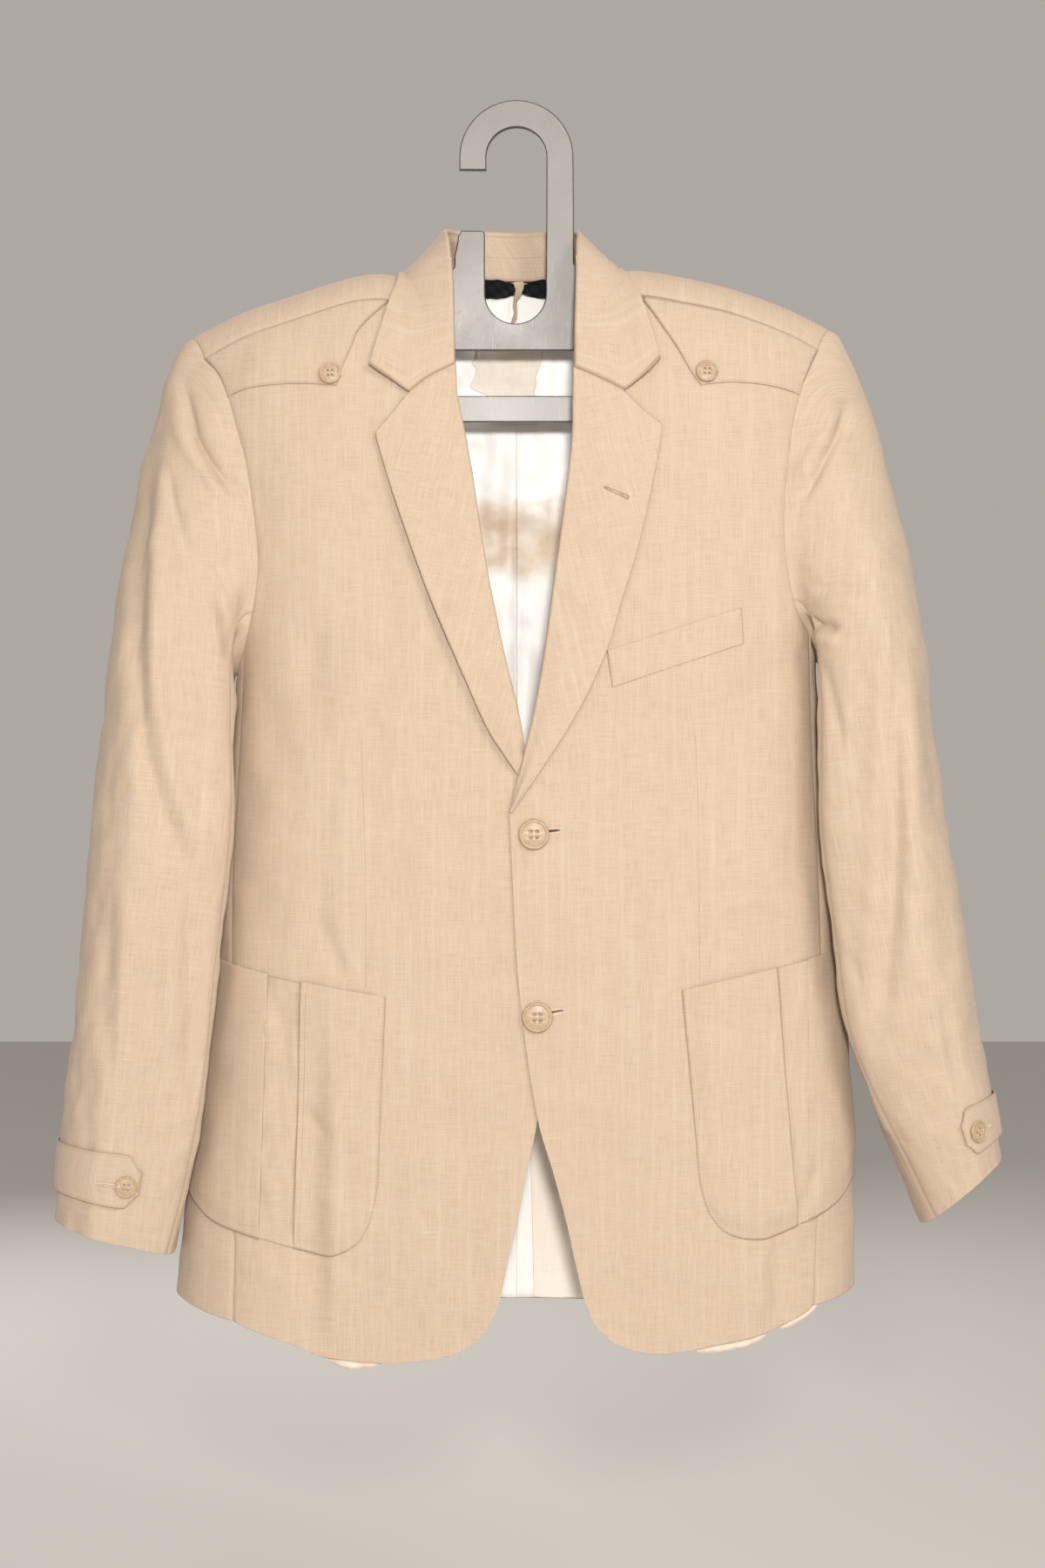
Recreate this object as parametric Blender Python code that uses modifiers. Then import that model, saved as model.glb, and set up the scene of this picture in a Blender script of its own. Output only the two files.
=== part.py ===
"""Single breasted blazer of plain linen, buttoned and hung on a flat plastic hanger.

The object's frame is in metres: +X to the viewer's right, +Y to the back, +Z up, with the origin
where a rail carries the hook.  Left and right in the names are the wearer's, so left lies at +X.
The tables are in millimetres and are turned to metres when a mesh is made.

The jacket is one rounded form, given by sections at heights below the hook.  Every panel is a
sheet between edge lines drawn on that form, and every piece that lies on a panel is cut from the
panel's own points, moved out.
"""

import math

import bmesh
import bpy
from mathutils import Matrix, Vector

MM = 0.001

# Wall thicknesses and clearances, in millimetres
LINEN = 1.5          # outer cloth with its pressed seam allowance
FACED = 2.0          # lapel and collar: two layers and an interlining
SATIN = 1.0          # lining
SEAM = 0.6           # distance between two panels along a seam
SLEEVE_SEAM = 1.5    # and along the sleeve's own seams, which turn more sharply
LAYER = 0.4          # clearance between a panel and what lies on it
POCKET_LIFT = LINEN / 2 + LAYER + SATIN / 2
LEAF_LIFT = POCKET_LIFT + SATIN / 2 + LAYER + LINEN / 2
TAB_LIFT = LINEN + LAYER + 0.2
LINING_INSET = 3.2
FRONT_LINING_INSET = 2.35
INNER_INSET = LINING_INSET + SATIN + 2 * LAYER

# The body's rounding
ROUND = 100.0        # width over which a front turns to the side
SHOULDER_DROP = 105  # height over which the shoulder reaches the full depth
CROWN = 0.06         # share of the depth that the middle of a front stands out
OVERLAP_LIFT = 2.4   # the buttoned front lies this far above the under front
OVERLAP_FLAT = 45    # x to which it is fully lifted
OVERLAP_FADE = 95    # x from which it lies down again

RIGHT, LEFT = -1, 1
FRONT, BACK = -1, 1
SIDE_NAME = {RIGHT: "right", LEFT: "left"}


class Table:
    """Rows of sizes with named columns, read smoothly between the rows."""

    def __init__(self, names, *rows):
        self.names = names.split()
        self.rows = sorted(rows)

    def slope(self, index, column):
        low = self.rows[max(index - 1, 0)]
        high = self.rows[min(index + 1, len(self.rows) - 1)]
        return (high[column] - low[column]) / (high[0] - low[0])

    def at(self, key, name):
        column = self.names.index(name)
        key = min(max(key, self.rows[0][0]), self.rows[-1][0])
        index = 0
        while index < len(self.rows) - 2 and key > self.rows[index + 1][0]:
            index += 1
        low, high = self.rows[index], self.rows[index + 1]
        span = high[0] - low[0]
        t = (key - low[0]) / span
        a = self.slope(index, column) * span
        b = self.slope(index + 1, column) * span
        return (low[column] * (1 + 2 * t) * (1 - t) ** 2 + high[column] * t * t * (3 - 2 * t)
                + a * t * (1 - t) ** 2 + b * t * t * (t - 1))


# Sections of the body: half widths on the wearer's right and left, depths to front and back
BODY = Table(
    "z right left front back",
    (-896, 251, 247, 62, 58),
    (-800, 243, 246, 60, 55),
    (-735, 232, 246, 58, 50),
    (-670, 224, 241.5, 57, 46),
    (-600, 217, 233.5, 57, 44),
    (-540, 213, 229.5, 57, 44),
    (-456, 207, 222.5, 56, 47),
    (-395, 204, 219, 56, 50),
    (-350, 211, 222, 55, 50),
    (-300, 218, 226, 54, 49),
    (-240, 228, 230, 53, 48),
    (-190, 238, 236, 52, 47),
    (-150, 247, 243, 50, 46),
    (-90, 252, 248, 50, 46),
)

# Height of the shoulder ridge across the body
RIDGE = Table(
    "x z",
    (-250, -163), (-237, -155), (-225, -149), (-197, -135.5), (-168, -126), (-139, -116.5),
    (-118, -110.5), (-100, -108.5), (-85, -110), (-65, -108), (-48, -103), (0, -92),
    (46, -102), (62, -106), (76, -106.5), (91, -106), (114, -109.5), (149, -117),
    (178, -126), (204, -136.5), (229, -149), (246, -158),
)

# Soft folds of the fronts: a line from (x0, z0) to (x1, z1), its half width and its height
FOLDS = (
    (-201, -395, -160, -470, 14, -2.5),
    (-196, -600, -186, -880, 16, 2.5),
    (-150, -640, -146, -890, 15, -2.0),
    (-70, -520, -66, -880, 22, 1.5),
    (214, -382, 150, -430, 13, -3.0),
    (205, -410, 176, -560, 16, 2.2),
    (100, -480, 104, -880, 22, 1.6),
    (178, -640, 196, -870, 16, -2.0),
)

# Edge lines, as (x, z) on the front or back of the form
FRONT_SEAM_DROP = 22          # the shoulder seam lies this far below the ridge, on the front
NECK_X = {RIGHT: -56, LEFT: 54}
TIP_X = {RIGHT: -227, LEFT: 219}
RIDGE_TIP_X = {RIGHT: -239, LEFT: 231}
FRONT_ARMHOLE = {
    RIGHT: ((-198, -384), (-190, -352), (-186.5, -314), (-194, -254), (-201, -228), (-209, -200),
            (-216, -184), (-227, -171.5)),
    LEFT: ((213, -372), (200, -347), (193, -300), (196, -248), (199, -224), (205, -199),
           (211, -182), (219, -165.5)),
}
BACK_ARMHOLE = {
    RIGHT: ((-196, -380), (-190, -340), (-190, -290), (-202, -230), (-222, -180), (-239, -156)),
    LEFT: ((210, -370), (203, -335), (201, -290), (207, -230), (220, -180), (231, -150)),
}
UNDERARM_Z = {RIGHT: -400, LEFT: -391}
SIDE_SEAM = {
    RIGHT: ((-203, -865), (-202, -808), (-205, -700), (-206, -615), (-206, -540), (-201, -450),
            (-198, -384)),
    LEFT: ((214, -855), (216, -800), (220, -700), (221, -615), (219, -540), (215, -450),
           (213, -372)),
}
BACK_SIDE_SEAM = {
    RIGHT: ((-212, -862), (-206, -740), (-192, -600), (-186, -480), (-196, -380)),
    LEFT: ((214, -858), (214, -740), (206, -600), (200, -480), (210, -370)),
}
SIDE_HEM_Z = {RIGHT: -843, LEFT: -840}
FRONT_HEM = {
    RIGHT: ((-25, -875), (-38, -884), (-51, -889), (-72, -892), (-95, -893), (-137, -889),
            (-158, -881), (-188, -871), (-203, -865)),
    LEFT: ((60, -870), (69, -878), (80, -883), (97, -886), (118, -885), (139, -881), (173, -874),
           (202, -862), (214, -855)),
}
FRONT_EDGE = {
    RIGHT: ((-25, -875), (-17, -862), (-11, -846), (-5.5, -818), (1, -791), (8, -755), (15, -721),
            (24, -650), (28, -586), (31, -541), (33, -508)),
    LEFT: ((60, -870), (54, -862), (48.5, -848), (43.5, -828), (35, -790), (25.5, -755),
           (15.5, -721), (7, -670), (1, -616), (-2, -565), (-4.8, -502)),
}
ROLL_LINE = {
    RIGHT: ((33, -508), (18, -478), (7, -452), (2, -424), (-8, -381), (-20, -328), (-31, -261),
            (-38, -222), (-43, -203), (-44, -181)),
    LEFT: ((-4.8, -502), (7.6, -454), (12.6, -429), (19.4, -388), (28.7, -319), (36.8, -259),
           (40, -223), (41.5, -184)),
}
FRONT_NECK = {
    RIGHT: ((-44, -181), (-47, -152), (-56, -128)),
    LEFT: ((41.5, -184), (46, -150), (54, -126)),
}
LAPEL_ROLL = {
    RIGHT: ((6, -455), (2, -424), (-8, -381), (-20, -328), (-31, -261), (-38, -222), (-43, -203),
            (-44, -181.5)),
    LEFT: ((-4.8, -499), (7.6, -454), (12.6, -429), (19.4, -388), (28.7, -319), (36.8, -259),
           (40, -223), (41.5, -184.5)),
}
LAPEL_EDGE = {
    RIGHT: ((1, -474), (-11.6, -459), (-24, -441), (-40, -399), (-63, -344.5), (-86, -280),
            (-99, -238), (-100.5, -230)),
    LEFT: ((-1, -497.5), (12.6, -482), (26, -459), (38, -441), (51.6, -415), (65.3, -384),
           (74.6, -353), (86.3, -315), (95, -278), (102, -243), (104.3, -224.3)),
}
LAPEL_GORGE = {
    RIGHT: ((-44, -181.5), (-63, -191), (-77, -202)),
    LEFT: ((41.5, -184.5), (59, -192), (77.5, -201)),
}
LAPEL_NOTCH = {
    RIGHT: ((-77, -202), (-90.5, -218.5), (-100.5, -230)),
    LEFT: ((77.5, -201), (90.7, -213.8), (104.3, -224.3)),
}

# The collar, from the wearer's right gorge round the neck to the left: the fold line and the
# outer edge of the fall
COLLAR_ROLL = (
    (-44, -50, -180), (-44.5, -45, -150), (-46, -33, -112), (-48.5, -16, -86), (-50, 2, -75.5),
    (-42, 20, -73), (-22, 29, -72), (0, 31, -72), (20, 29, -72), (37, 20, -73.5),
    (43.6, 2, -77), (43.4, -16, -88), (43, -33, -114), (42, -45, -150), (41.5, -50, -183),
)
COLLAR_EDGE = (
    (-105.5, -52, -179.5), (-100, -45, -157.5), (-93.7, -33, -137.5), (-88.6, -20, -122),
    (-87, 0, -107), (-76, 26, -112), (-42, 42, -121), (0, 48, -124), (38, 42, -121),
    (66, 26, -111), (76, 0, -104), (84, -20, -120), (92.6, -33, -140), (99, -43, -156),
    (104, -50, -171),
)
COLLAR_GORGE = {
    RIGHT: ((-44, -180), (-63, -189.8), (-77.5, -200.6)),
    LEFT: ((41.5, -183), (59, -190.5), (78, -199.6)),
}
COLLAR_STEPS = 28
STAND_FROM, STAND_TO = 6, 22  # stations of the collar between which the stand shows
PATCH_UNDER = 1.6             # the collar's lift where a shoulder patch lies under it
STAND_CLEAR = 2.0             # its foot lies this far above the back's neckline
NECK_TURN_X = 50.0            # the neckline reaches the shoulder ridge here
NECKLINE = Table("x z", (-50, -103.7), (-26, -109), (0, -110), (26, -109), (50, -103.2))
COLLAR_POINT = {
    RIGHT: ((-77.5, -200.6), (-94, -188), (-105.5, -179.5)),
    LEFT: ((78, -199.6), (91, -187.5), (104, -171)),
}

# Sleeve sections below the armhole: distances from the middle of the body to the sleeve's outer
# and inner side, depths, the rise of the outer side per millimetre, the fall of the back, and how
# far the sleeve's front edge reaches over the body
SLEEVE = {
    RIGHT: Table(
        "z outer inner front back rise fall over",
        (-807, 333.5, 249, -60, 31, 0.27, 0.0, 8),
        (-760, 331, 241, -64, 32, 0.15, 0.0, 14),
        (-704, 326, 231.5, -68, 36, 0.05, 0.0, 17),
        (-651, 319, 226, -71, 42, 0.0, 0.0, 18),
        (-602, 315, 221, -73, 48, 0.0, 0.0, 18),
        (-541, 310, 215.5, -74, 55, 0.0, 0.0, 20),
        (-504, 307, 212.5, -74, 59, 0.0, 0.0, 20),
        (-430, 299, 208, -70, 64, 0.0, 0.0, 14),
    ),
    LEFT: Table(
        "z outer inner front back rise fall over",
        (-777, 352, 297, -58, 42, 0.85, 0.14, 2),
        (-740, 347.5, 278, -62, 41, 0.5, 0.08, 4),
        (-700, 341, 261, -66, 42, 0.3, 0.04, 10),
        (-651, 333, 245.5, -70, 44, 0.15, 0.0, 17),
        (-602, 326.5, 238, -72, 48, 0.05, 0.0, 18),
        (-541, 317.5, 231.5, -73, 55, 0.0, 0.0, 20),
        (-504, 312, 228, -73, 59, 0.0, 0.0, 20),
        (-425, 301, 223.5, -69, 64, 0.0, 0.0, 14),
    ),
}
SLEEVE_SQUARE = 0.86          # exponent of the sleeve's section, below 1 is squarer than round
CAP_OUT = 60.0                # how strongly the sleeve head leaves the armhole sideways
CAP_DOWN = 0.9                # how strongly it turns down into the sleeve
UNDERARM_GAP = 1.4            # and this much further under the arm, where the walls run together
SLEEVE_GAP = 0.8              # the sleeve head starts this far outside the armhole edge
CREASE = (100, 30)            # the sleeve's long crease: its angle, and its height in millimetres/10

TAB_TABLE = Table(
    "side high low tip",
    (RIGHT, -743, -781, 78),
    (LEFT, -719, -756, 96),
)

POCKET = {
    RIGHT: ((-93, -633), (-97, -728), (-99, -769), (-103, -792), (-112, -807), (-124, -815),
            (-137, -817.5), (-158, -812.5), (-202, -801), (-219, -795), (-232, -786),
            (-242, -772), (-252, -740), (-252, -606)),
    LEFT: ((118, -628), (126.5, -717), (131, -765), (137, -786), (147.5, -799), (160, -804.5),
           (175, -806), (187, -803), (202, -797), (219, -789), (231, -779), (240, -765),
           (252, -735), (252, -598)),
}
POCKET_BACK_Y = -18           # the pocket ends on the side, just in front of the middle
PLEAT = {                     # the two fold edges of the pocket's pleat: x at top and bottom
    RIGHT: ((-153, -159), (-177, -183.5)),
    LEFT: ((185, 202), (209, 208)),
}
PLEAT_TUCK = 6.0
POCKET_TOP, POCKET_BOTTOM = -600, -810
WELT = ((64.8, -386), (68.5, -412), (162.5, -380.5), (160.5, -355))
PATCH = {
    RIGHT: ((-92, -135), (-112, -153.5), (-117.6, -166.6), (-124.5, -183.6), (-128.5, -196.5),
            (-138, -195.5), (-153, -194.5), (-172, -194.8), (-193, -197), (-214, -203),
            (-240, -203), (-240, -130)),
    LEFT: ((92, -137), (101, -147), (114.7, -167.3), (125.4, -186.7), (132.5, -196.5),
           (140, -195), (155, -193.5), (175, -194.5), (204, -200), (212, -202), (236, -202),
           (236, -130)),
}

FRONT_BUTTONS = {"top": (12.6, -517), "bottom": (15, -647)}
SHOULDER_BUTTON = {RIGHT: (-133.5, -186.5), LEFT: (136.2, -186)}
CUFF_BUTTON = {RIGHT: (90, -765), LEFT: (110, -739)}      # angle round the sleeve, height
FRONT_BUTTON_D, FRONT_BUTTON_T = 22.0, 3.6
SMALL_BUTTON_D, SMALL_BUTTON_T = 16.0, 3.0
BUTTON_SIDES = 16

# Hanger plate
PLATE_T = 6.0
HOOK_X, HOOK_Z = 0.0, -22.0
HOOK_OUTER_R, HOOK_INNER_R = 41.8, 22.0
HOOK_END_Z = -31.4
STEM_X = (21.7, 42.2)
POST_X = (-45.3, -23.0)
POST_TOP_Z = -75.8
POST_ROUND = 3.0
SLOT_Z, SLOT_R = -121.5, 22.35
ARM_CLEAR = 3.8               # the arms' top edge lies this far below the cloth's middle
ARM_END = {RIGHT: -222.0, LEFT: 214.0}
BAR_Z = (-216.0, -196.8)
ARM_CORNER = 22.0
WINDOW_X, WINDOW_TOP, WINDOW_R = (-188.0, 181.0), -163.6, 12.0
PLATE_EDGE = 0.8

# Seam stations shared by the panels that meet there
SIDE_STEPS = 10
EDGE_STEPS, ROLL_STEPS, NECK_STEPS = 8, 7, 3
FRONT_ARM_STEPS = 8
BACK_ARM_AT = (0, 0.18, 0.36, 0.54, 0.72, 0.87, 0.965, 1)
STRIP_STEPS = 3
UNDERARM_STEPS = 4
CAP_STEPS = 6
TUBE_STEPS = 9
UNDERARM_ANGLE = 25           # where the side panel's ends lie round the sleeve, in degrees
TIP_ANGLE = 160
TOP_SEAM_STATION = 1          # the sleeve's front seam, counted in armhole stations
BACK_SEAM_STATION = FRONT_ARM_STEPS + STRIP_STEPS + 5


# ---------------------------------------------------------------- the form

def smoothstep(t):
    t = min(max(t, 0.0), 1.0)
    return t * t * (3 - 2 * t)


def half_width(side, z):
    return BODY.at(z, SIDE_NAME[side])


def fold_height(x, z):
    """Height of the soft folds of the fronts at a place."""
    height = 0.0
    for x0, z0, x1, z1, half, rise in FOLDS:
        along = Vector((x1 - x0, z1 - z0))
        place = Vector((x - x0, z - z0))
        t = min(max(place.dot(along) / along.length_squared, 0.0), 1.0)
        away = (place - along * t).length / half
        height += rise * math.exp(-away * away) * math.sin(math.pi * (0.15 + 0.7 * t))
    return height


def full_depth(x, z, face):
    """Depth of the body at a place, before the shoulder draws it in."""
    side = LEFT if x >= 0 else RIGHT
    wide = half_width(side, z)
    reach = min(max(abs(x) - (wide - ROUND), 0.0) / ROUND, 1.0)
    turn = math.sqrt(1 - reach * reach)
    deep = BODY.at(z, "front" if face == FRONT else "back")
    deep *= 1 - CROWN * (x / wide) ** 2
    if face == FRONT:
        deep += fold_height(x, z)
    return deep * turn


def depth_at(x, z, face):
    """Distance from the shoulder's plane to the front or back of the body."""
    drop = min(max(RIDGE.at(x, "z") - z, 0.0) / SHOULDER_DROP, 1.0)
    return full_depth(x, z, face) * math.sqrt(1 - (1 - drop) ** 2)


def on_form(x, z, face=FRONT):
    return Vector((x, face * depth_at(x, z, face), z))


def outward(x, z, face=FRONT):
    """Direction away from the body at a place."""
    step = 0.8
    across = on_form(x + step, z, face) - on_form(x - step, z, face)
    up = on_form(x, z + step, face) - on_form(x, z - step, face)
    normal = across.cross(up).normalized()
    return normal * (-1 if normal.y * face < 0 else 1)


def lifted(x, z, lift, face=FRONT):
    return on_form(x, z, face) + outward(x, z, face) * lift


def turn_angle(side, x, z, face):
    """Angle round the side of the body: 0 where the front begins to turn, 180 at the back."""
    reach = (abs(x) - (half_width(side, z) - ROUND)) / ROUND
    angle = math.degrees(math.asin(min(max(reach, 0.0), 1.0)))
    return angle if face == FRONT else 180 - angle


def on_side(side, angle, z):
    turn = math.radians(angle)
    x = side * (half_width(side, z) - ROUND + ROUND * math.sin(turn))
    return on_form(x, z, FRONT if angle <= 90 else BACK)


# ---------------------------------------------------------------- lines and grids

def spline_point(points, index, t):
    """A point of a smooth line, between points[index] and the next one."""
    p1, p2 = points[index], points[index + 1]
    p0 = points[index - 1] if index > 0 else p1 * 2 - p2
    p3 = points[index + 2] if index + 2 < len(points) else p2 * 2 - p1
    return 0.5 * (2 * p1 + (p2 - p0) * t + (2 * p0 - 5 * p1 + 4 * p2 - p3) * t * t
                  + (3 * p1 - p0 - 3 * p2 + p3) * t ** 3)


def run(points, steps, at=None):
    """Places along a smooth line through the points, evenly or at the given shares."""
    points = [Vector(p) for p in points]
    fine = [spline_point(points, i, k / 8) for i in range(len(points) - 1) for k in range(8)]
    fine.append(points[-1])
    length = [0.0]
    for a, b in zip(fine, fine[1:]):
        length.append(length[-1] + (b - a).length)
    shares = at or [i / steps for i in range(steps + 1)]
    places, index = [], 0
    for share in shares:
        want = share * length[-1]
        while index < len(fine) - 2 and length[index + 1] < want:
            index += 1
        t = (want - length[index]) / (length[index + 1] - length[index])
        places.append(fine[index].lerp(fine[index + 1], t))
    return places


def chain(*runs):
    """Joins runs end to end, without the doubled places."""
    places = list(runs[0])
    for more in runs[1:]:
        places += more[1:]
    return places


def between_edges(low, high, inner, outer):
    """Grid of places between four edge lines: rows from low to high, inner to outer."""
    rows = []
    for j in range(len(inner)):
        v = j / (len(inner) - 1)
        row = []
        for i in range(len(low)):
            u = i / (len(low) - 1)
            place = low[i] * (1 - v) + high[i] * v + inner[j] * (1 - u) + outer[j] * u
            place = place - (low[0] * (1 - u) * (1 - v) + low[-1] * u * (1 - v)
                             + high[0] * (1 - u) * v + high[-1] * u * v)
            row.append(place)
        rows.append(row)
    return rows


# ---------------------------------------------------------------- meshes

def grid_into(bm, rows, flip=False):
    """Adds a grid of places in millimetres to a bmesh, as triangles."""
    high, wide = len(rows) - 1, len(rows[0]) - 1
    part = bmesh.new()
    bmesh.ops.create_grid(part, x_segments=wide, y_segments=high, size=1)
    for vert in part.verts:
        i = round((vert.co.x + 1) / 2 * wide)
        j = round((vert.co.y + 1) / 2 * high)
        vert.co = rows[j][i] * MM
    bmesh.ops.triangulate(part, faces=part.faces[:], quad_method="FIXED")
    if flip:
        bmesh.ops.reverse_faces(part, faces=part.faces[:])
    mesh = bpy.data.meshes.new("grid")
    part.to_mesh(mesh)
    part.free()
    bm.from_mesh(mesh)
    bpy.data.meshes.remove(mesh)


def joined(grids, flip=False):
    """One open surface of grids that share an edge."""
    bm = bmesh.new()
    for rows in grids:
        grid_into(bm, rows, flip)
    bmesh.ops.remove_doubles(bm, verts=bm.verts[:], dist=0.1 * MM)
    return bm


def draw_in(bm, distance):
    """Moves the free edge of an open surface in, which leaves the seam's clearance."""
    moves = {}
    for vert in bm.verts:
        if vert.is_boundary:
            inward = Vector()
            for face in vert.link_faces:
                inward += face.calc_center_median() - vert.co
            edges = [e for e in vert.link_edges if e.is_boundary]
            along = edges[0].other_vert(vert).co - edges[1].other_vert(vert).co
            along.normalize()
            inward -= along * inward.dot(along)
            if inward.length > 1e-9:
                moves[vert] = inward.normalized() * distance
    for vert, move in moves.items():
        vert.co += move


def cloth(name, bm, thickness, material, seam=SEAM):
    """A wall of cloth in both directions from an open surface."""
    if seam:
        draw_in(bm, seam / 2 * MM)
    mesh = bpy.data.meshes.new(name)
    bm.to_mesh(mesh)
    bm.free()
    mesh.shade_smooth()
    piece = add(name, mesh, material)
    wall = piece.modifiers.new("wall", "SOLIDIFY")
    wall.thickness = thickness * MM
    wall.offset = 0
    wall.use_even_offset = True
    return piece


def add(name, mesh, material):
    piece = bpy.data.objects.new(name, mesh)
    mesh.materials.append(material)
    BLAZER.objects.link(piece)
    return piece


def moved_out(bm, lift):
    """Moves an open surface out along its own normals."""
    bm.normal_update()
    moves = [vert.normal * lift * MM for vert in bm.verts]
    for vert, move in zip(bm.verts, moves):
        vert.co += move


def trim(bm, outline, near=None):
    """Cuts an open surface to an outline seen from the front."""
    for a, b in zip(outline, outline[1:] + outline[:1]):
        touched = [f for f in bm.faces if crosses(f, a, b)]
        geometry = {v for f in touched for v in f.verts} | {e for f in touched for e in f.edges}
        normal = Vector((b[1] - a[1], 0, a[0] - b[0])).normalized()
        bmesh.ops.bisect_plane(bm, geom=list(geometry) + touched, dist=1e-7,
                               plane_co=Vector((a[0], 0, a[1])) * MM, plane_no=normal)
    outside = [f for f in bm.faces if not inside(f.calc_center_median(), outline)]
    bmesh.ops.delete(bm, geom=outside, context="FACES")
    if near is not None:
        cut(bm, (0, near, 0), (0, 1, 0))
    bmesh.ops.remove_doubles(bm, verts=bm.verts[:], dist=0.5 * MM)
    bmesh.ops.dissolve_degenerate(bm, edges=bm.edges[:], dist=0.3 * MM)
    bmesh.ops.triangulate(bm, faces=bm.faces[:])


def crosses(face, a, b):
    """Whether a face may lie across the stretch of an outline from a to b."""
    xs = [v.co.x / MM for v in face.verts]
    zs = [v.co.z / MM for v in face.verts]
    return (max(xs) > min(a[0], b[0]) and min(xs) < max(a[0], b[0])
            and max(zs) > min(a[1], b[1]) and min(zs) < max(a[1], b[1]))


def inside(place, outline):
    x, z = place.x / MM, place.z / MM
    odd = False
    for a, b in zip(outline, outline[1:] + outline[:1]):
        if (a[1] > z) != (b[1] > z) and x < a[0] + (b[0] - a[0]) * (z - a[1]) / (b[1] - a[1]):
            odd = not odd
    return odd


def cut(bm, place, normal):
    """Takes away what lies beyond a plane."""
    geometry = bm.verts[:] + bm.edges[:] + bm.faces[:]
    bmesh.ops.bisect_plane(bm, geom=geometry, dist=1e-7, plane_co=Vector(place) * MM,
                           plane_no=Vector(normal).normalized(), clear_outer=True)


def plastic(name, color, roughness, metallic=0.0):
    material = bpy.data.materials.new(name)
    material.use_nodes = True
    shader = material.node_tree.nodes["Principled BSDF"]
    shader.inputs["Base Color"].default_value = (*color, 1)
    shader.inputs["Roughness"].default_value = roughness
    shader.inputs["Metallic"].default_value = metallic
    return material


# ---------------------------------------------------------------- body panels

def over_lift(x):
    """The left front is buttoned over the right one."""
    return OVERLAP_LIFT * smoothstep((OVERLAP_FADE - x) / (OVERLAP_FADE - OVERLAP_FLAT))


def front_place(side, x, z, lift=0.0):
    if side == LEFT:
        lift += over_lift(x)
    return lifted(x, z, lift)


def shoulder_seam(side, steps):
    xs = [NECK_X[side] + (TIP_X[side] - NECK_X[side]) * i / steps for i in range(steps + 1)]
    return [Vector((x, RIDGE.at(x, "z") - FRONT_SEAM_DROP)) for x in xs]


def front_rows(side):
    wide = 14
    low = run(FRONT_HEM[side], wide)
    high = shoulder_seam(side, wide)
    inner = chain(run(FRONT_EDGE[side], EDGE_STEPS), run(ROLL_LINE[side], ROLL_STEPS),
                  run(FRONT_NECK[side], NECK_STEPS))
    outer = chain(run(SIDE_SEAM[side], SIDE_STEPS), run(FRONT_ARMHOLE[side], FRONT_ARM_STEPS))
    outer[-1] = high[-1]
    inner[-1] = high[0]
    rows = between_edges(low, high, inner, outer)
    return [[front_place(side, p.x, p.y) for p in row] for row in rows]


def underarm(side):
    """Top edge of the side panel, as angle and height."""
    x, z = SIDE_SEAM[side][-1]
    first = Vector((turn_angle(side, x, z, FRONT), z))
    x, z = BACK_SIDE_SEAM[side][-1]
    last = Vector((turn_angle(side, x, z, BACK), z))
    middle = Vector((90, UNDERARM_Z[side]))
    return run((first, middle, last), UNDERARM_STEPS)


def side_rows(side):
    seam = run(SIDE_SEAM[side], SIDE_STEPS)
    front = [Vector((turn_angle(side, p.x, p.y, FRONT), p.y)) for p in seam]
    seam = run(BACK_SIDE_SEAM[side], SIDE_STEPS)
    back = [Vector((turn_angle(side, p.x, p.y, BACK), p.y)) for p in seam]
    low = run((front[0], Vector((90, SIDE_HEM_Z[side])), back[0]), UNDERARM_STEPS)
    rows = between_edges(low, underarm(side), front, back)
    grid = [[on_side(side, p.x, p.y) for p in row] for row in rows]
    for row, p, q in zip(grid, run(SIDE_SEAM[side], SIDE_STEPS), run(BACK_SIDE_SEAM[side],
                                                                     SIDE_STEPS)):
        row[0] = front_place(side, p.x, p.y)
        row[-1] = on_form(q.x, q.y, BACK)
    return grid


def back_grids(side):
    """The back up to the shoulder ridge, and the strip from there to the forward seam."""
    neck_steps, shoulder_steps = 3, 8
    middle_top = Vector((side * 0.2, -110))
    neck_turn = Vector((side * NECK_TURN_X, RIDGE.at(side * NECK_TURN_X, "z")))
    xs = [neck_turn.x + (RIDGE_TIP_X[side] - neck_turn.x) * i / shoulder_steps
          for i in range(shoulder_steps + 1)]
    ridge = [Vector((x, RIDGE.at(x, "z"))) for x in xs]
    neck = [Vector((side * x, NECKLINE.at(side * x, "z"))) for x in (0.2, 18, 35)]
    high = chain(neck + [neck_turn], ridge)
    low = run(((side * 0.2, -868), (side * 110, -868), BACK_SIDE_SEAM[side][0]),
              neck_steps + shoulder_steps)
    outer = chain(run(BACK_SIDE_SEAM[side], SIDE_STEPS), run(BACK_ARMHOLE[side], 0, BACK_ARM_AT))
    outer[-1] = ridge[-1]
    top = len(outer) - 1
    inner = []
    for j in range(top + 1):
        share = (outer[j].y - outer[0].y) / (outer[-1].y - outer[0].y)
        inner.append(Vector((side * 0.2, low[0].y + (middle_top.y - low[0].y) * share)))
    rows = between_edges(low, high, inner, outer)
    grid = [[on_form(p.x, p.y, BACK) for p in row] for row in rows]
    seam = shoulder_seam(side, shoulder_steps)
    strip = [grid[-1][neck_steps:]]
    for k in range(1, STRIP_STEPS + 1):
        t = k / STRIP_STEPS
        row = []
        for start, end in zip(ridge, seam):
            x = start.x + (end.x - start.x) * t
            z = RIDGE.at(x, "z") - FRONT_SEAM_DROP * (1 - math.cos(t * math.pi / 2))
            row.append(front_place(side, x, z))
        strip.append(row)
    return [grid, strip]


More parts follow.
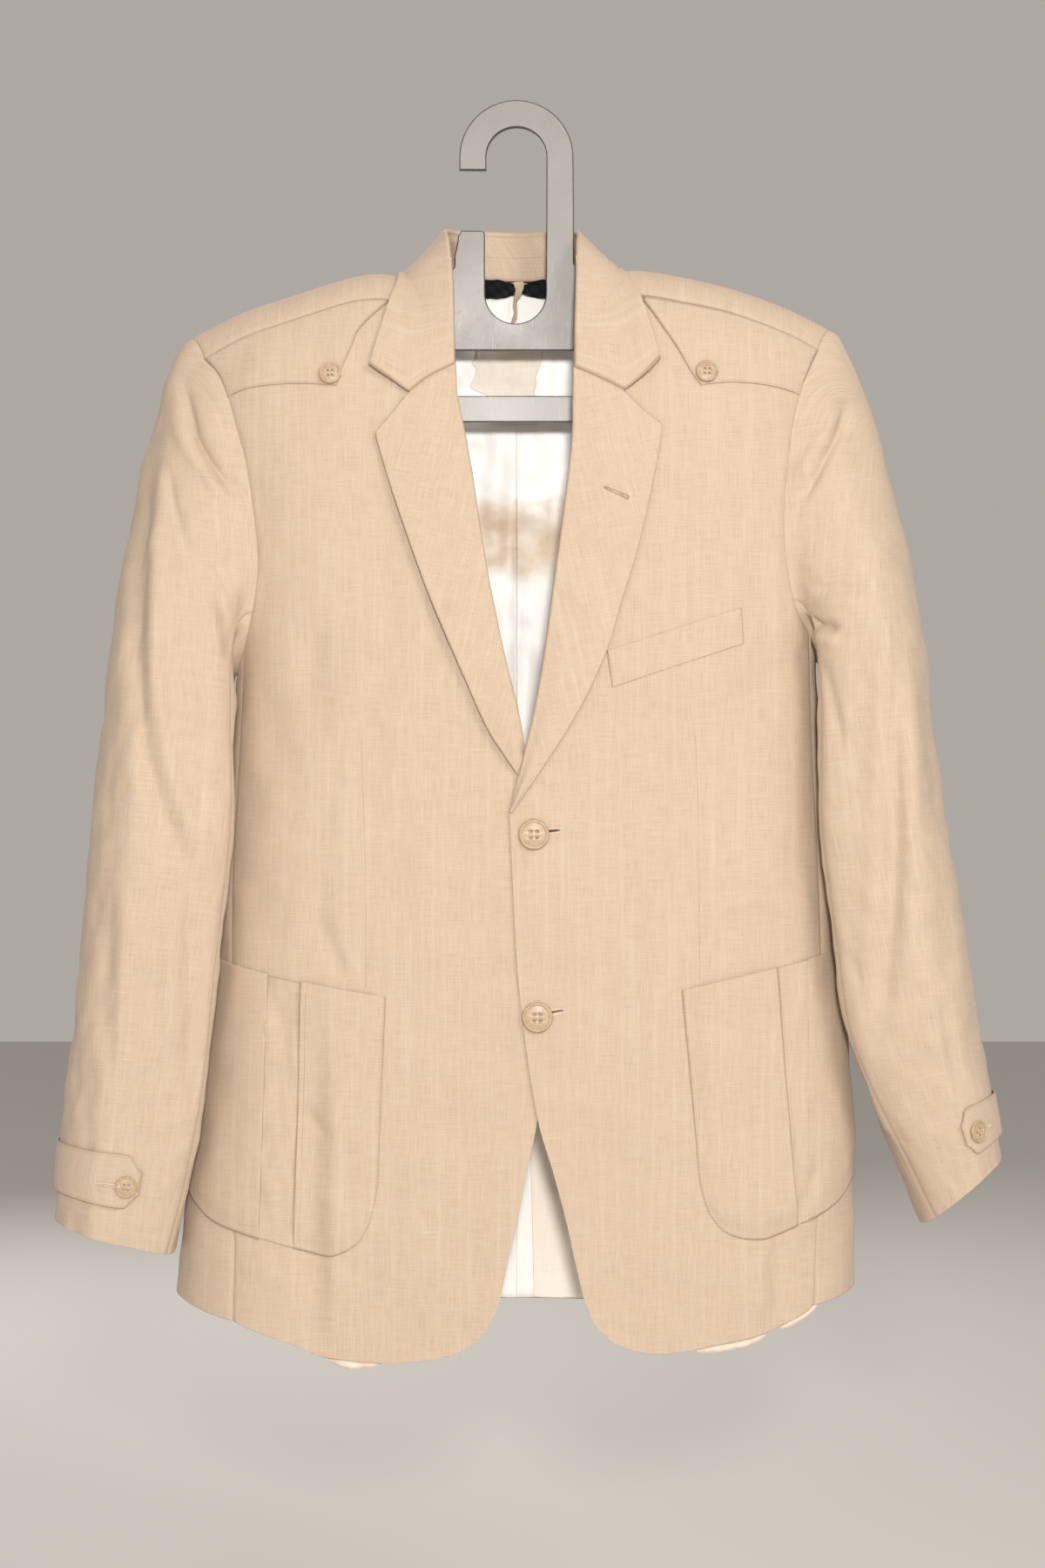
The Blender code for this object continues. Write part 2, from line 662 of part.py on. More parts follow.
def fronts_and_backs(linen):
    for side in (RIGHT, LEFT):
        name = SIDE_NAME[side]
        flip = side == RIGHT
        cloth(f"front_{name}", joined([front_rows(side)], flip), LINEN, linen)
        cloth(f"side_{name}", joined([side_rows(side)], flip), LINEN, linen)
        body, strip = back_grids(side)
        bm = joined([body], not flip)
        turned = joined([strip], flip)
        turned_mesh = bpy.data.meshes.new("strip")
        turned.to_mesh(turned_mesh)
        turned.free()
        bm.from_mesh(turned_mesh)
        bpy.data.meshes.remove(turned_mesh)
        bmesh.ops.remove_doubles(bm, verts=bm.verts[:], dist=0.1 * MM)
        bmesh.ops.recalc_face_normals(bm, faces=bm.faces[:])
        cloth(f"back_{name}", bm, LINEN, linen)


# ---------------------------------------------------------------- pieces on the panels

def panel_copy(side):
    """The front and side panel as one open surface."""
    return joined([front_rows(side), side_rows(side)], side == RIGHT)


def pocket_pieces(side, linen):
    """Pleat underlay and two leaves of a patch pocket."""
    name = SIDE_NAME[side]
    (inner_top, inner_low), (outer_top, outer_low) = PLEAT[side]
    leaf_in = ((inner_top, POCKET_TOP), (inner_low, POCKET_BOTTOM))
    leaf_out = ((outer_top, POCKET_TOP), (outer_low, POCKET_BOTTOM))

    def leaf(label, lift, thickness, keep):
        bm = panel_copy(side)
        moved_out(bm, lift)
        for (top, bottom), toward in keep:
            along = Vector(bottom) - Vector(top)
            normal = Vector((along.y, 0, -along.x))
            if normal.x * toward > 0:
                normal = -normal
            cut(bm, (top[0], 0, top[1]), normal)
        trim(bm, POCKET[side], POCKET_BACK_Y)
        cloth(label, bm, thickness, linen, 0)

    def shifted(line, by):
        return tuple((x + side * by, z) for x, z in line)

    leaf(f"pocket_front_leaf_{name}", LEAF_LIFT, LINEN, [(leaf_in, -side)])
    leaf(f"pocket_side_leaf_{name}", LEAF_LIFT, LINEN, [(leaf_out, side)])
    leaf(f"pocket_pleat_{name}", POCKET_LIFT, SATIN,
         [(shifted(leaf_in, -PLEAT_TUCK), side), (shifted(leaf_out, PLEAT_TUCK), -side)])


def overlay(name, side, outline, material, lift=LINEN + LAYER):
    bm = joined([front_rows(side)], side == RIGHT)
    moved_out(bm, lift)
    trim(bm, outline)
    return cloth(name, bm, LINEN, material, 0)


def lapel(side, linen):
    low_steps, gorge_steps, notch_steps = 4, 3, 2
    wide = gorge_steps + notch_steps
    high = chain(run(LAPEL_GORGE[side], gorge_steps), run(LAPEL_NOTCH[side], notch_steps))
    low = run((LAPEL_ROLL[side][0], LAPEL_EDGE[side][0]), wide)
    inner = run(LAPEL_ROLL[side], 4 * low_steps)
    outer = run(LAPEL_EDGE[side], 4 * low_steps)
    rows = between_edges(low, high, inner, outer)
    base = LINEN / 2 + LAYER + FACED / 2 + 0.4
    grid = []
    for j, row in enumerate(rows):
        up = j / (len(rows) - 1)
        line = []
        for i, p in enumerate(row):
            belly = 3.0 * math.sin(math.pi * i / wide) * (1 - 0.6 * up)
            line.append(front_place(side, p.x, p.y, base + belly))
        grid.append(line)
    cloth(f"lapel_{SIDE_NAME[side]}", joined([grid], side == RIGHT), FACED, linen, 0)


def clear_of_body(place, lift):
    """Moves a place of the collar off the body, where it would touch it."""
    x, y, z = place
    face = FRONT if y < 0 else BACK
    if face == FRONT:
        lift += PATCH_UNDER * smoothstep((abs(x) - 80) / 10)
        if x > 0:
            lift += over_lift(x)
    middle = RIDGE.at(x, "z") - SHOULDER_DROP
    deep = full_depth(x, min(z, middle + SHOULDER_DROP), face) + lift
    high = SHOULDER_DROP + lift * 1.5
    if z < middle:
        return Vector((x, face * max(abs(y), deep), z))
    reach = math.hypot(y / deep, (z - middle) / high)
    if reach >= 1:
        return place
    return Vector((x, y / reach, middle + (z - middle) / reach))


def neck_out(place, distance):
    """Moves a place away from the middle of the neck."""
    away = Vector((place.x, place.y - 5, 0)).normalized()
    return place + away * distance


def collar_fall(linen):
    gorge_steps, point_steps = 3, 2
    lift = LINEN / 2 + LAYER + FACED / 2 + 0.8
    roll = [neck_out(p, SATIN / 2 + LAYER + 0.8 + FACED / 2)
            for p in run(COLLAR_ROLL, COLLAR_STEPS)]
    edge = run(COLLAR_EDGE, COLLAR_STEPS)
    ends = {}
    for side in (RIGHT, LEFT):
        flat = chain(run(COLLAR_GORGE[side], gorge_steps), run(COLLAR_POINT[side], point_steps))
        ends[side] = [front_place(side, p.x, p.y, lift) for p in flat]
    rows = []
    wide = gorge_steps + point_steps
    for j in range(wide + 1):
        v = j / wide
        bends = [ends[side][j] - ends[side][0].lerp(ends[side][-1], v) for side in (RIGHT, LEFT)]
        row = []
        for i in range(COLLAR_STEPS + 1):
            u = i / COLLAR_STEPS
            place = roll[i].lerp(edge[i], v) + bends[0] * (1 - u) ** 12 + bends[1] * u ** 12
            row.append(clear_of_body(place, lift))
        row[0], row[-1] = ends[RIGHT][j], ends[LEFT][j]
        rows.append(row)
    cloth("collar_fall", joined([rows], False), FACED, linen, 0)


def collar_stand(linen):
    """Inside of the neck, from the fold line down to the neck seam."""
    line = run(COLLAR_ROLL, COLLAR_STEPS)[STAND_FROM:STAND_TO + 1]
    top = [neck_out(p, SATIN / 2) - Vector((0, 0, 0.6)) for p in line]
    rows = []
    for share in (0, 0.5, 1):
        row = []
        for p in top:
            behind = smoothstep((p.y + 4) / 24)
            foot = Vector((p.x, p.y, RIDGE.at(p.x, "z") + 2.2))
            seam_z = NECKLINE.at(p.x, "z")
            back = on_form(p.x, seam_z, BACK)
            foot = foot.lerp(Vector((p.x, back.y, seam_z + STAND_CLEAR)), behind)
            row.append(foot.lerp(p, share))
        rows.append(row)
    cloth("collar_stand", joined([rows], False), SATIN * 1.2, linen, 0)


# ---------------------------------------------------------------- sleeves

def armhole(side):
    """Places round the armhole, from the side seam over the shoulder and back under the arm."""
    front = front_rows(side)
    places = [row[-1] for row in front[SIDE_STEPS:]]
    body, strip = back_grids(side)
    places += [row[-1] for row in reversed(strip)][1:]
    places += [row[-1] for row in reversed(body[SIDE_STEPS:])][1:]
    places += [p for p in reversed(side_rows(side)[-1])][1:-1]
    return places


def armhole_angles():
    strip = (180 - TIP_ANGLE) / STRIP_STEPS
    front = [UNDERARM_ANGLE + (TIP_ANGLE - UNDERARM_ANGLE) * i / FRONT_ARM_STEPS
             for i in range(FRONT_ARM_STEPS + 1)]
    over = [TIP_ANGLE + strip * (i + 1) for i in range(STRIP_STEPS)]
    back = [180 + (180 - UNDERARM_ANGLE) * (1 - t) for t in reversed(BACK_ARM_AT[:-1])]
    under = [360 - UNDERARM_ANGLE + 2 * UNDERARM_ANGLE * (i + 1) / UNDERARM_STEPS
             for i in range(UNDERARM_STEPS - 1)]
    return front + over + back + under


def sleeve_place(side, angle, z, lift=0.0):
    """A place on the sleeve below the armhole; 0 is the inner side, 90 the front, 180 outside."""
    table = SLEEVE[side]
    outer, inner = table.at(z, "outer") + lift, table.at(z, "inner") - lift
    front, back = table.at(z, "front") - lift, table.at(z, "back") + lift
    turn = math.radians(angle)
    c, s = math.cos(turn), math.sin(turn)
    x = -math.copysign(abs(c) ** SLEEVE_SQUARE, c) * (outer - inner) / 2
    if c > 0 and s > 0:
        x -= table.at(z, "over") * math.sin(2 * turn) ** 2
    y = -math.copysign(abs(s) ** SLEEVE_SQUARE, s) * (back - front) / 2
    away = abs(angle % 360 - CREASE[0]) / 14
    y -= CREASE[1] / 10 * math.exp(-away * away)
    rise = table.at(z, "rise") * x - table.at(z, "fall") * y
    return Vector((side * ((outer + inner) / 2 + x), (front + back) / 2 + y, z + rise))


def sleeve_rows(side):
    """Rings of the whole sleeve, from the armhole down to the cuff."""
    table = SLEEVE[side]
    bottom, top = table.rows[0][0], table.rows[-1][0]
    angles = armhole_angles()
    start = armhole(side)
    rows = []
    for k in range(CAP_STEPS):
        t = (k / CAP_STEPS) ** 1.4
        row = []
        for place, angle in zip(start, angles):
            end = sleeve_place(side, angle, top)
            span = (end - place).length
            leave = Vector((side * min(CAP_OUT, span), 0, -4))
            turn = Vector((side * 4, 0, -span * CAP_DOWN))
            gap = SLEEVE_GAP + UNDERARM_GAP * max(math.cos(math.radians(angle)), 0)
            place = place + Vector((side * gap, 0, 0))
            row.append(place * (1 + 2 * t) * (1 - t) ** 2 + end * t * t * (3 - 2 * t)
                       + leave * t * (1 - t) ** 2 + turn * t * t * (t - 1))
        rows.append(row)
    for k in range(TUBE_STEPS + 1):
        z = top + (bottom - top) * k / TUBE_STEPS
        rows.append([sleeve_place(side, angle, z) for angle in angles])
    return rows


def sleeves(linen):
    for side in (RIGHT, LEFT):
        rows = sleeve_rows(side)
        name = SIDE_NAME[side]
        first, last = TOP_SEAM_STATION, BACK_SEAM_STATION
        top = [row[first:last + 1] for row in rows]
        under = [row[last:] + row[:first + 1] for row in rows]
        cloth(f"top_sleeve_{name}", joined([top], side == RIGHT), LINEN, linen, SLEEVE_SEAM)
        cloth(f"under_sleeve_{name}", joined([under], side == RIGHT), LINEN, linen, SLEEVE_SEAM)


def cuff_tab(side, linen):
    """A strap from the back seam round the outside of the cuff, with a pointed end."""
    angles = armhole_angles()
    tip = TAB_TABLE.at(side, "tip")
    high, low = TAB_TABLE.at(side, "high"), TAB_TABLE.at(side, "low")
    columns = [a for a in angles if tip + 8 < a <= angles[BACK_SEAM_STATION]]
    middle = (high + low) / 2
    rows = []
    for share in (-1, -0.33, 0.33, 1):
        z = middle + share * (high - low) / 2
        point = middle + share * (high - low) / 5
        row = [sleeve_place(side, tip, point, TAB_LIFT)]
        row += [sleeve_place(side, a, z, TAB_LIFT) for a in columns]
        rows.append(row)
    cloth(f"cuff_tab_{SIDE_NAME[side]}", joined([rows], side == LEFT), LINEN, linen, 0)


# ---------------------------------------------------------------- lining and trim

def lining(satin, facing):
    top_drop = 16
    for side in (RIGHT, LEFT):
        name = SIDE_NAME[side]
        low = run(((side * 0.4, -862), (side * 100, -862), (side * 200, -856)), 8)
        high = run(((side * 0.4, -113), (side * 40, -113.5), (side * 60, -125),
                    (side * 130, RIDGE.at(side * 130, "z") - top_drop),
                    (side * 196, RIDGE.at(side * 196, "z") - top_drop - 12)), 8)
        shares = [1 - (1 - i / 15) ** 1.9 for i in range(16)]
        inner = run((low[0], high[0]), 0, shares)
        outer = run((low[-1], (side * 185, -600), (side * 178, -420), (side * 184, -300),
                     high[-1]), 0, shares)
        rows = between_edges(low, high, inner, outer)
        grid = [[lifted(p.x, p.y, -LINING_INSET, BACK) for p in row] for row in rows]
        cloth(f"back_lining_{name}", joined([grid], side == LEFT), SATIN, satin, 0)
    for side, hem in ((RIGHT, ((-92, -889), (-104, -894), (-120, -895), (-134, -891),
                               (-160, -880), (-196, -866))),
                      (LEFT, ((96, -882), (126, -884), (150, -882), (172, -877), (188, -868),
                              (205, -861)))):
        high = run(((side * 84, -430), (side * 178, -430)), 6)
        low = run(hem, 6)
        rows = between_edges(low, high, run((low[0], high[0]), 10), run((low[-1], high[-1]), 10))
        grid = [[front_place(side, p.x, p.y, -FRONT_LINING_INSET) for p in row] for row in rows]
        cloth(f"front_lining_{SIDE_NAME[side]}", joined([grid], side == RIGHT), SATIN, satin, 0)
    inner_sheet("vent_facing", ((13, -866), (62, -866)), ((8, -650), (54, -650)), 3, 6, facing)


def inner_sheet(name, low, high, wide, tall, material, inset=INNER_INSET, thickness=SATIN):
    """A flat piece on the inner side of the back lining."""
    low, high = run(low, wide), run(high, wide)
    rows = between_edges(low, high, run((low[0], high[0]), tall), run((low[-1], high[-1]), tall))
    grid = [[lifted(p.x, p.y, -inset, BACK) for p in row] for row in rows]
    return cloth(name, joined([grid], True), thickness, material, 0)


def neck_trim(facing, dark):
    inner_sheet("neck_patch", ((-20, -212), (19, -212)), ((-33, -128), (21, -128)), 4, 4, facing)
    inner_sheet("neck_label", ((-27, -126), (27, -126)), ((-27, -112), (27, -112)), 4, 2, dark)
    loop_inset = INNER_INSET + SATIN + LAYER
    inner_sheet("hanger_loop", ((-4.5, -139), (-0.5, -139)), ((-3, -110.5), (5, -110.5)), 1, 4,
                facing, loop_inset + 0.6, 1.2)


# ---------------------------------------------------------------- buttons

def button(name, place, normal, diameter, thickness, material):
    """A turned button with a rim round a shallow dish, lying on the cloth."""
    r, t = diameter / 2 * MM, thickness * MM
    profile = ((0, 0.7), (0.56, 0.7), (0.74, 1.0), (0.94, 0.86), (1.0, 0.5), (0.86, 0), (0, 0))
    bm = bmesh.new()
    verts = [bm.verts.new((x * r, 0, z * t)) for x, z in profile]
    for a, b in zip(verts, verts[1:]):
        bm.edges.new((a, b))
    mesh = bpy.data.meshes.new(name)
    bm.to_mesh(mesh)
    bm.free()
    piece = add(name, mesh, material)
    turned = piece.modifiers.new("turned", "SCREW")
    turned.steps = turned.render_steps = BUTTON_SIDES
    turned.use_merge_vertices = True
    turned.merge_threshold = 0.00005
    mesh.shade_smooth()
    turn = Vector((0, 0, 1)).rotation_difference(normal).to_matrix().to_4x4()
    piece.matrix_world = Matrix.Translation(place * MM) @ turn
    return piece


def buttons(horn):
    for label, (x, z) in FRONT_BUTTONS.items():
        normal = outward(x, z)
        place = front_place(LEFT, x, z, LINEN / 2 + LAYER)
        button(f"front_button_{label}", place, normal, FRONT_BUTTON_D, FRONT_BUTTON_T, horn)
    for side in (RIGHT, LEFT):
        x, z = SHOULDER_BUTTON[side]
        place = lifted(x, z, LINEN * 1.5 + 2 * LAYER + 0.5)
        button(f"shoulder_button_{SIDE_NAME[side]}", place, outward(x, z), SMALL_BUTTON_D,
               SMALL_BUTTON_T, horn)
        angle, z = CUFF_BUTTON[side]
        across = sleeve_place(side, angle + 3, z) - sleeve_place(side, angle - 3, z)
        down = sleeve_place(side, angle, z - 3) - sleeve_place(side, angle, z + 3)
        normal = across.cross(down).normalized()
        normal *= -1 if normal.y > 0 else 1
        place = sleeve_place(side, angle, z) + normal * (TAB_LIFT + LINEN / 2 + LAYER + 0.5)
        button(f"cuff_button_{SIDE_NAME[side]}", place, normal, SMALL_BUTTON_D, SMALL_BUTTON_T,
               horn)


# ---------------------------------------------------------------- hanger

def arc(x, z, radius, start, end, steps):
    return [(x + radius * math.cos(math.radians(start + (end - start) * i / steps)),
             z + radius * math.sin(math.radians(start + (end - start) * i / steps)))
            for i in range(steps + 1)]


def arm_top(x):
    return RIDGE.at(x, "z") - ARM_CLEAR


def hanger_outline():
    stem_in, stem_out = STEM_X
    post_out, post_in = POST_X
    bar_low, bar_high = BAR_Z
    left_end, right_end = ARM_END[LEFT], ARM_END[RIGHT]
    line = [(HOOK_X - HOOK_OUTER_R, HOOK_END_Z)]
    line += arc(HOOK_X, HOOK_Z, HOOK_OUTER_R, 180, 0, 18)
    line += [(stem_out, -60), (stem_out, arm_top(stem_out + 4) + 6)]
    reach = left_end - 8 - (stem_out + 6)
    line += [(stem_out + 6 + reach * i / 9, arm_top(stem_out + 6 + reach * i / 9))
             for i in range(10)]
    line += [(left_end, arm_top(left_end) - 7)]
    line += arc(left_end - ARM_CORNER, bar_low + ARM_CORNER, ARM_CORNER, 0, -90, 5)
    line += arc(right_end + ARM_CORNER, bar_low + ARM_CORNER, ARM_CORNER, -90, -180, 5)
    line += [(right_end, arm_top(right_end) - 7)]
    reach = post_out - 4 - (right_end + 8)
    line += [(right_end + 8 + reach * i / 9, arm_top(right_end + 8 + reach * i / 9))
             for i in range(10)]
    line += [(post_out, arm_top(post_out - 4) + 5), (post_out, -94), (post_out + 1.8, -86)]
    line += [(post_out + 2.6, POST_TOP_Z - 4), (post_out + 5, POST_TOP_Z)]
    line += arc(post_in - POST_ROUND, POST_TOP_Z - POST_ROUND, POST_ROUND, 90, 0, 3)
    line += arc((post_in + stem_in) / 2, SLOT_Z, SLOT_R, 180, 360, 14)
    line += arc(HOOK_X, HOOK_Z, HOOK_INNER_R, 0, 180, 14)
    line += [(HOOK_X - HOOK_INNER_R, HOOK_END_Z)]
    return line


def window_outline():
    low, high = BAR_Z[1], WINDOW_TOP
    start, end = WINDOW_X
    r = WINDOW_R
    return (arc(end - r, high - r, r, 90, 0, 4) + arc(end - r, low + r, r, 0, -90, 4)
            + arc(start + r, low + r, r, -90, -180, 4) + arc(start + r, high - r, r, 180, 90, 4))


def hanger(grey):
    curve = bpy.data.curves.new("hanger", "CURVE")
    curve.dimensions = "2D"
    curve.fill_mode = "BOTH"
    curve.extrude = (PLATE_T / 2 - PLATE_EDGE) * MM
    curve.bevel_depth = PLATE_EDGE * MM
    curve.bevel_resolution = 0
    curve.offset = -PLATE_EDGE * MM
    for outline in (hanger_outline(), window_outline()):
        spline = curve.splines.new("POLY")
        spline.points.add(len(outline) - 1)
        for point, (x, z) in zip(spline.points, outline):
            point.co = (x * MM, z * MM, 0, 1)
        spline.use_cyclic_u = True
    flat = bpy.data.objects.new("hanger_curve", curve)
    BLAZER.objects.link(flat)
    flat.rotation_euler = (math.radians(90), 0, 0)
    bpy.context.view_layer.update()
    mesh = bpy.data.meshes.new_from_object(flat.evaluated_get(
        bpy.context.evaluated_depsgraph_get()))
    bm = bmesh.new()
    bm.from_mesh(mesh)
    bmesh.ops.remove_doubles(bm, verts=bm.verts[:], dist=0.02 * MM)
    bm.to_mesh(mesh)
    bm.free()
    mesh.name = "hanger"
    mesh.materials.clear()
    plate = add("hanger", mesh, grey)
    plate.matrix_world = flat.matrix_world
    bpy.data.objects.remove(flat)
    return plate


# ---------------------------------------------------------------- the object

def build():
    linen = plastic("linen", (0.72, 0.58, 0.42), 0.9)
    satin = plastic("satin", (0.87, 0.82, 0.74), 0.35)
    facing = plastic("facing", (0.80, 0.72, 0.60), 0.8)
    dark = plastic("label_black", (0.02, 0.02, 0.022), 0.6)
    horn = plastic("horn", (0.66, 0.48, 0.31), 0.3)
    grey = plastic("hanger_grey", (0.30, 0.30, 0.31), 0.45)
    fronts_and_backs(linen)
    sleeves(linen)
    for side in (RIGHT, LEFT):
        name = SIDE_NAME[side]
        pocket_pieces(side, linen)
        overlay(f"shoulder_patch_{name}", side, PATCH[side], linen)
        lapel(side, linen)
        cuff_tab(side, linen)
    overlay("breast_welt", LEFT, WELT, linen)
    collar_fall(linen)
    collar_stand(linen)
    lining(satin, facing)
    neck_trim(facing, dark)
    buttons(horn)
    hanger(grey)


for old in list(bpy.data.objects):
    bpy.data.objects.remove(old)
BLAZER = bpy.data.collections.new("blazer_on_hanger")
bpy.context.scene.collection.children.link(BLAZER)
build()
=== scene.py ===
"""Looks of a single breasted linen blazer, buttoned, on its flat plastic hanger.

Every panel is a thin shell on the same form as its solid.  Sizes are in millimetres and are turned
to metres when a mesh is made.  X runs to the wearer's left, Y to the back and Z up.
"""

import math

import bmesh
import bpy
import numpy as np
from mathutils import Matrix, Vector


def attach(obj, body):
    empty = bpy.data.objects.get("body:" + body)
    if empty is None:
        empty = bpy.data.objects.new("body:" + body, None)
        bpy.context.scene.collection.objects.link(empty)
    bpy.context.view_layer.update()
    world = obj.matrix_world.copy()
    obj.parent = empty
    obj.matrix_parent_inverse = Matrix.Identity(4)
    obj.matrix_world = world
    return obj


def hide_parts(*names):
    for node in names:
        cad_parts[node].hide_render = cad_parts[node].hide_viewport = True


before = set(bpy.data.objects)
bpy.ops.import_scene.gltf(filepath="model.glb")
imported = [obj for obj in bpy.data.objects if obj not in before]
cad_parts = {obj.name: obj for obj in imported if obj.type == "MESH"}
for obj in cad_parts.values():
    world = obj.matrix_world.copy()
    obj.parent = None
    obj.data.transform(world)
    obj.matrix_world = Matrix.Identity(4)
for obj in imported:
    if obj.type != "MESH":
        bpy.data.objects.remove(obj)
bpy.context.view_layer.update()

MM = 0.001
RIGHT, LEFT = -1, 1
FRONT, BACK = -1, 1
SIDE_NAME = {RIGHT: "right", LEFT: "left"}
TO_FRONT, TO_BACK = (0, -1, 0), (0, 1, 0)


# ---------------------------------------------------------------- sizes of the form

ROUND = 100.0        # width over which a front turns to the side
SHOULDER_DROP = 105  # height over which the shoulder reaches the full depth
CROWN = 0.06         # share of the depth that the middle of a front stands out
OVERLAP_LIFT = 2.4   # the buttoned front lies this far above the under front
OVERLAP_FLAT = 45    # x to which it is fully lifted
OVERLAP_FADE = 95    # x from which it lies down again


def eased(t, start, end, leave, arrive):
    """A smooth run from start to end that leaves and arrives with the given slopes."""
    return (start * (1 + 2 * t) * (1 - t) ** 2 + end * t * t * (3 - 2 * t)
            + leave * t * (1 - t) ** 2 + arrive * t * t * (t - 1))


class Table:
    """Rows of sizes with named columns, read smoothly between the rows."""

    def __init__(self, names, *rows):
        self.names = names.split()
        self.rows = np.array(sorted(rows), float)

    def at(self, key, name):
        keys, values = self.rows[:, 0], self.rows[:, self.names.index(name)]
        last = len(keys) - 1
        key = np.clip(np.asarray(key, float), keys[0], keys[-1])
        low = np.clip(np.searchsorted(keys, key, side="left") - 1, 0, last - 1)
        above, below = np.r_[1:last + 1, last], np.r_[0, 0:last]
        slope = (values[above] - values[below]) / (keys[above] - keys[below])
        span = keys[low + 1] - keys[low]
        return eased((key - keys[low]) / span, values[low], values[low + 1], slope[low] * span,
                     slope[low + 1] * span)


BODY = Table(
    "z right left front back",
    (-896, 251, 247, 62, 58), (-800, 243, 246, 60, 55), (-735, 232, 246, 58, 50),
    (-670, 224, 241.5, 57, 46), (-600, 217, 233.5, 57, 44), (-540, 213, 229.5, 57, 44),
    (-456, 207, 222.5, 56, 47), (-395, 204, 219, 56, 50), (-350, 211, 222, 55, 50),
    (-300, 218, 226, 54, 49), (-240, 228, 230, 53, 48), (-190, 238, 236, 52, 47),
    (-150, 247, 243, 50, 46), (-90, 252, 248, 50, 46),
)
RIDGE = Table(
    "x z",
    (-250, -163), (-237, -155), (-225, -149), (-197, -135.5), (-168, -126), (-139, -116.5),
    (-118, -110.5), (-100, -108.5), (-85, -110), (-65, -108), (-48, -103), (0, -92),
    (46, -102), (62, -106), (76, -106.5), (91, -106), (114, -109.5), (149, -117),
    (178, -126), (204, -136.5), (229, -149), (246, -158),
)
FOLDS = (
    (-201, -395, -160, -470, 14, -2.5), (-196, -600, -186, -880, 16, 2.5),
    (-150, -640, -146, -890, 15, -2.0), (-70, -520, -66, -880, 22, 1.5),
    (214, -382, 150, -430, 13, -3.0), (205, -410, 176, -560, 16, 2.2),
    (100, -480, 104, -880, 22, 1.6), (178, -640, 196, -870, 16, -2.0),
)
FRONT_SEAM_DROP = 22
NECK_X = {RIGHT: -56, LEFT: 54}
TIP_X = {RIGHT: -227, LEFT: 219}
RIDGE_TIP_X = {RIGHT: -239, LEFT: 231}
FRONT_ARMHOLE = {
    RIGHT: ((-198, -384), (-190, -352), (-186.5, -314), (-194, -254), (-201, -228), (-209, -200),
            (-216, -184), (-227, -171.5)),
    LEFT: ((213, -372), (200, -347), (193, -300), (196, -248), (199, -224), (205, -199),
           (211, -182), (219, -165.5)),
}
BACK_ARMHOLE = {
    RIGHT: ((-196, -380), (-190, -340), (-190, -290), (-202, -230), (-222, -180), (-239, -156)),
    LEFT: ((210, -370), (203, -335), (201, -290), (207, -230), (220, -180), (231, -150)),
}
UNDERARM_Z = {RIGHT: -400, LEFT: -391}
SIDE_SEAM = {
    RIGHT: ((-203, -865), (-202, -808), (-205, -700), (-206, -615), (-206, -540), (-201, -450),
            (-198, -384)),
    LEFT: ((214, -855), (216, -800), (220, -700), (221, -615), (219, -540), (215, -450),
           (213, -372)),
}
BACK_SIDE_SEAM = {
    RIGHT: ((-212, -862), (-206, -740), (-192, -600), (-186, -480), (-196, -380)),
    LEFT: ((214, -858), (214, -740), (206, -600), (200, -480), (210, -370)),
}
SIDE_HEM_Z = {RIGHT: -851, LEFT: -846}
FRONT_HEM = {
    RIGHT: ((-25, -875), (-38, -884), (-51, -889), (-72, -892), (-95, -893), (-137, -889),
            (-158, -881), (-188, -871), (-203, -865)),
    LEFT: ((60, -870), (69, -878), (80, -883), (97, -886), (118, -885), (139, -881), (173, -874),
           (202, -862), (214, -855)),
}
FRONT_EDGE = {
    RIGHT: ((-25, -875), (-17, -862), (-11, -846), (-5.5, -818), (1, -791), (8, -755), (15, -721),
            (24, -650), (28, -586), (31, -541), (33, -508)),
    LEFT: ((60, -870), (54, -862), (48.5, -848), (43.5, -828), (35, -790), (25.5, -755),
           (15.5, -721), (7, -670), (1, -616), (-2, -565), (-4.8, -502)),
}
ROLL_LINE = {
    RIGHT: ((33, -508), (18, -478), (6, -452), (-1, -424), (-11.3, -381), (-22.3, -328),
            (-33, -261), (-40, -222), (-44, -203), (-44, -181)),
    LEFT: ((-4.8, -502), (9, -454), (14.4, -429), (21.7, -388), (31, -319), (38.8, -259),
           (42, -223), (41.5, -184)),
}
FRONT_NECK = {
    RIGHT: ((-44, -181), (-47, -152), (-56, -128)),
    LEFT: ((41.5, -184), (46, -150), (54, -126)),
}
LAPEL_ROLL = {
    RIGHT: ((5.5, -456), (-1.5, -424), (-11.8, -381), (-22.7, -328), (-33.3, -261),
            (-40.2, -222), (-44, -203), (-44, -181.5)),
    LEFT: ((-4.2, -500.5), (3.6, -476), (9.5, -452), (14.9, -429), (22.1, -388), (31.4, -319),
           (39.1, -259), (42.2, -223), (41.5, -184.5)),
}
LAPEL_EDGE = {
    RIGHT: ((1.5, -476), (-9, -460), (-21, -441), (-38.5, -402), (-63, -344.5), (-86, -280),
            (-99, -238), (-100.5, -230)),
    LEFT: ((-3.6, -502), (10.5, -482), (24.5, -461), (37.5, -441), (51.6, -415), (65.3, -384),
           (74.6, -353), (86.3, -315), (95, -278), (102, -243), (104.3, -224.3)),
}
LAPEL_NOTCH = {
    RIGHT: ((-77, -202), (-90.5, -218.5), (-100.5, -230)),
    LEFT: ((77.5, -201), (90.7, -213.8), (104.3, -224.3)),
}
COLLAR_ROLL = (
    (-44, -50, -180), (-44.5, -45, -150), (-46, -33, -112), (-48.5, -16, -86), (-50, 2, -75.5),
    (-42, 20, -73), (-22, 29, -72), (0, 31, -72), (20, 29, -72), (37, 20, -73.5),
    (43.6, 2, -77), (43.4, -16, -88), (43, -33, -114), (42, -45, -150), (41.5, -50, -183),
)
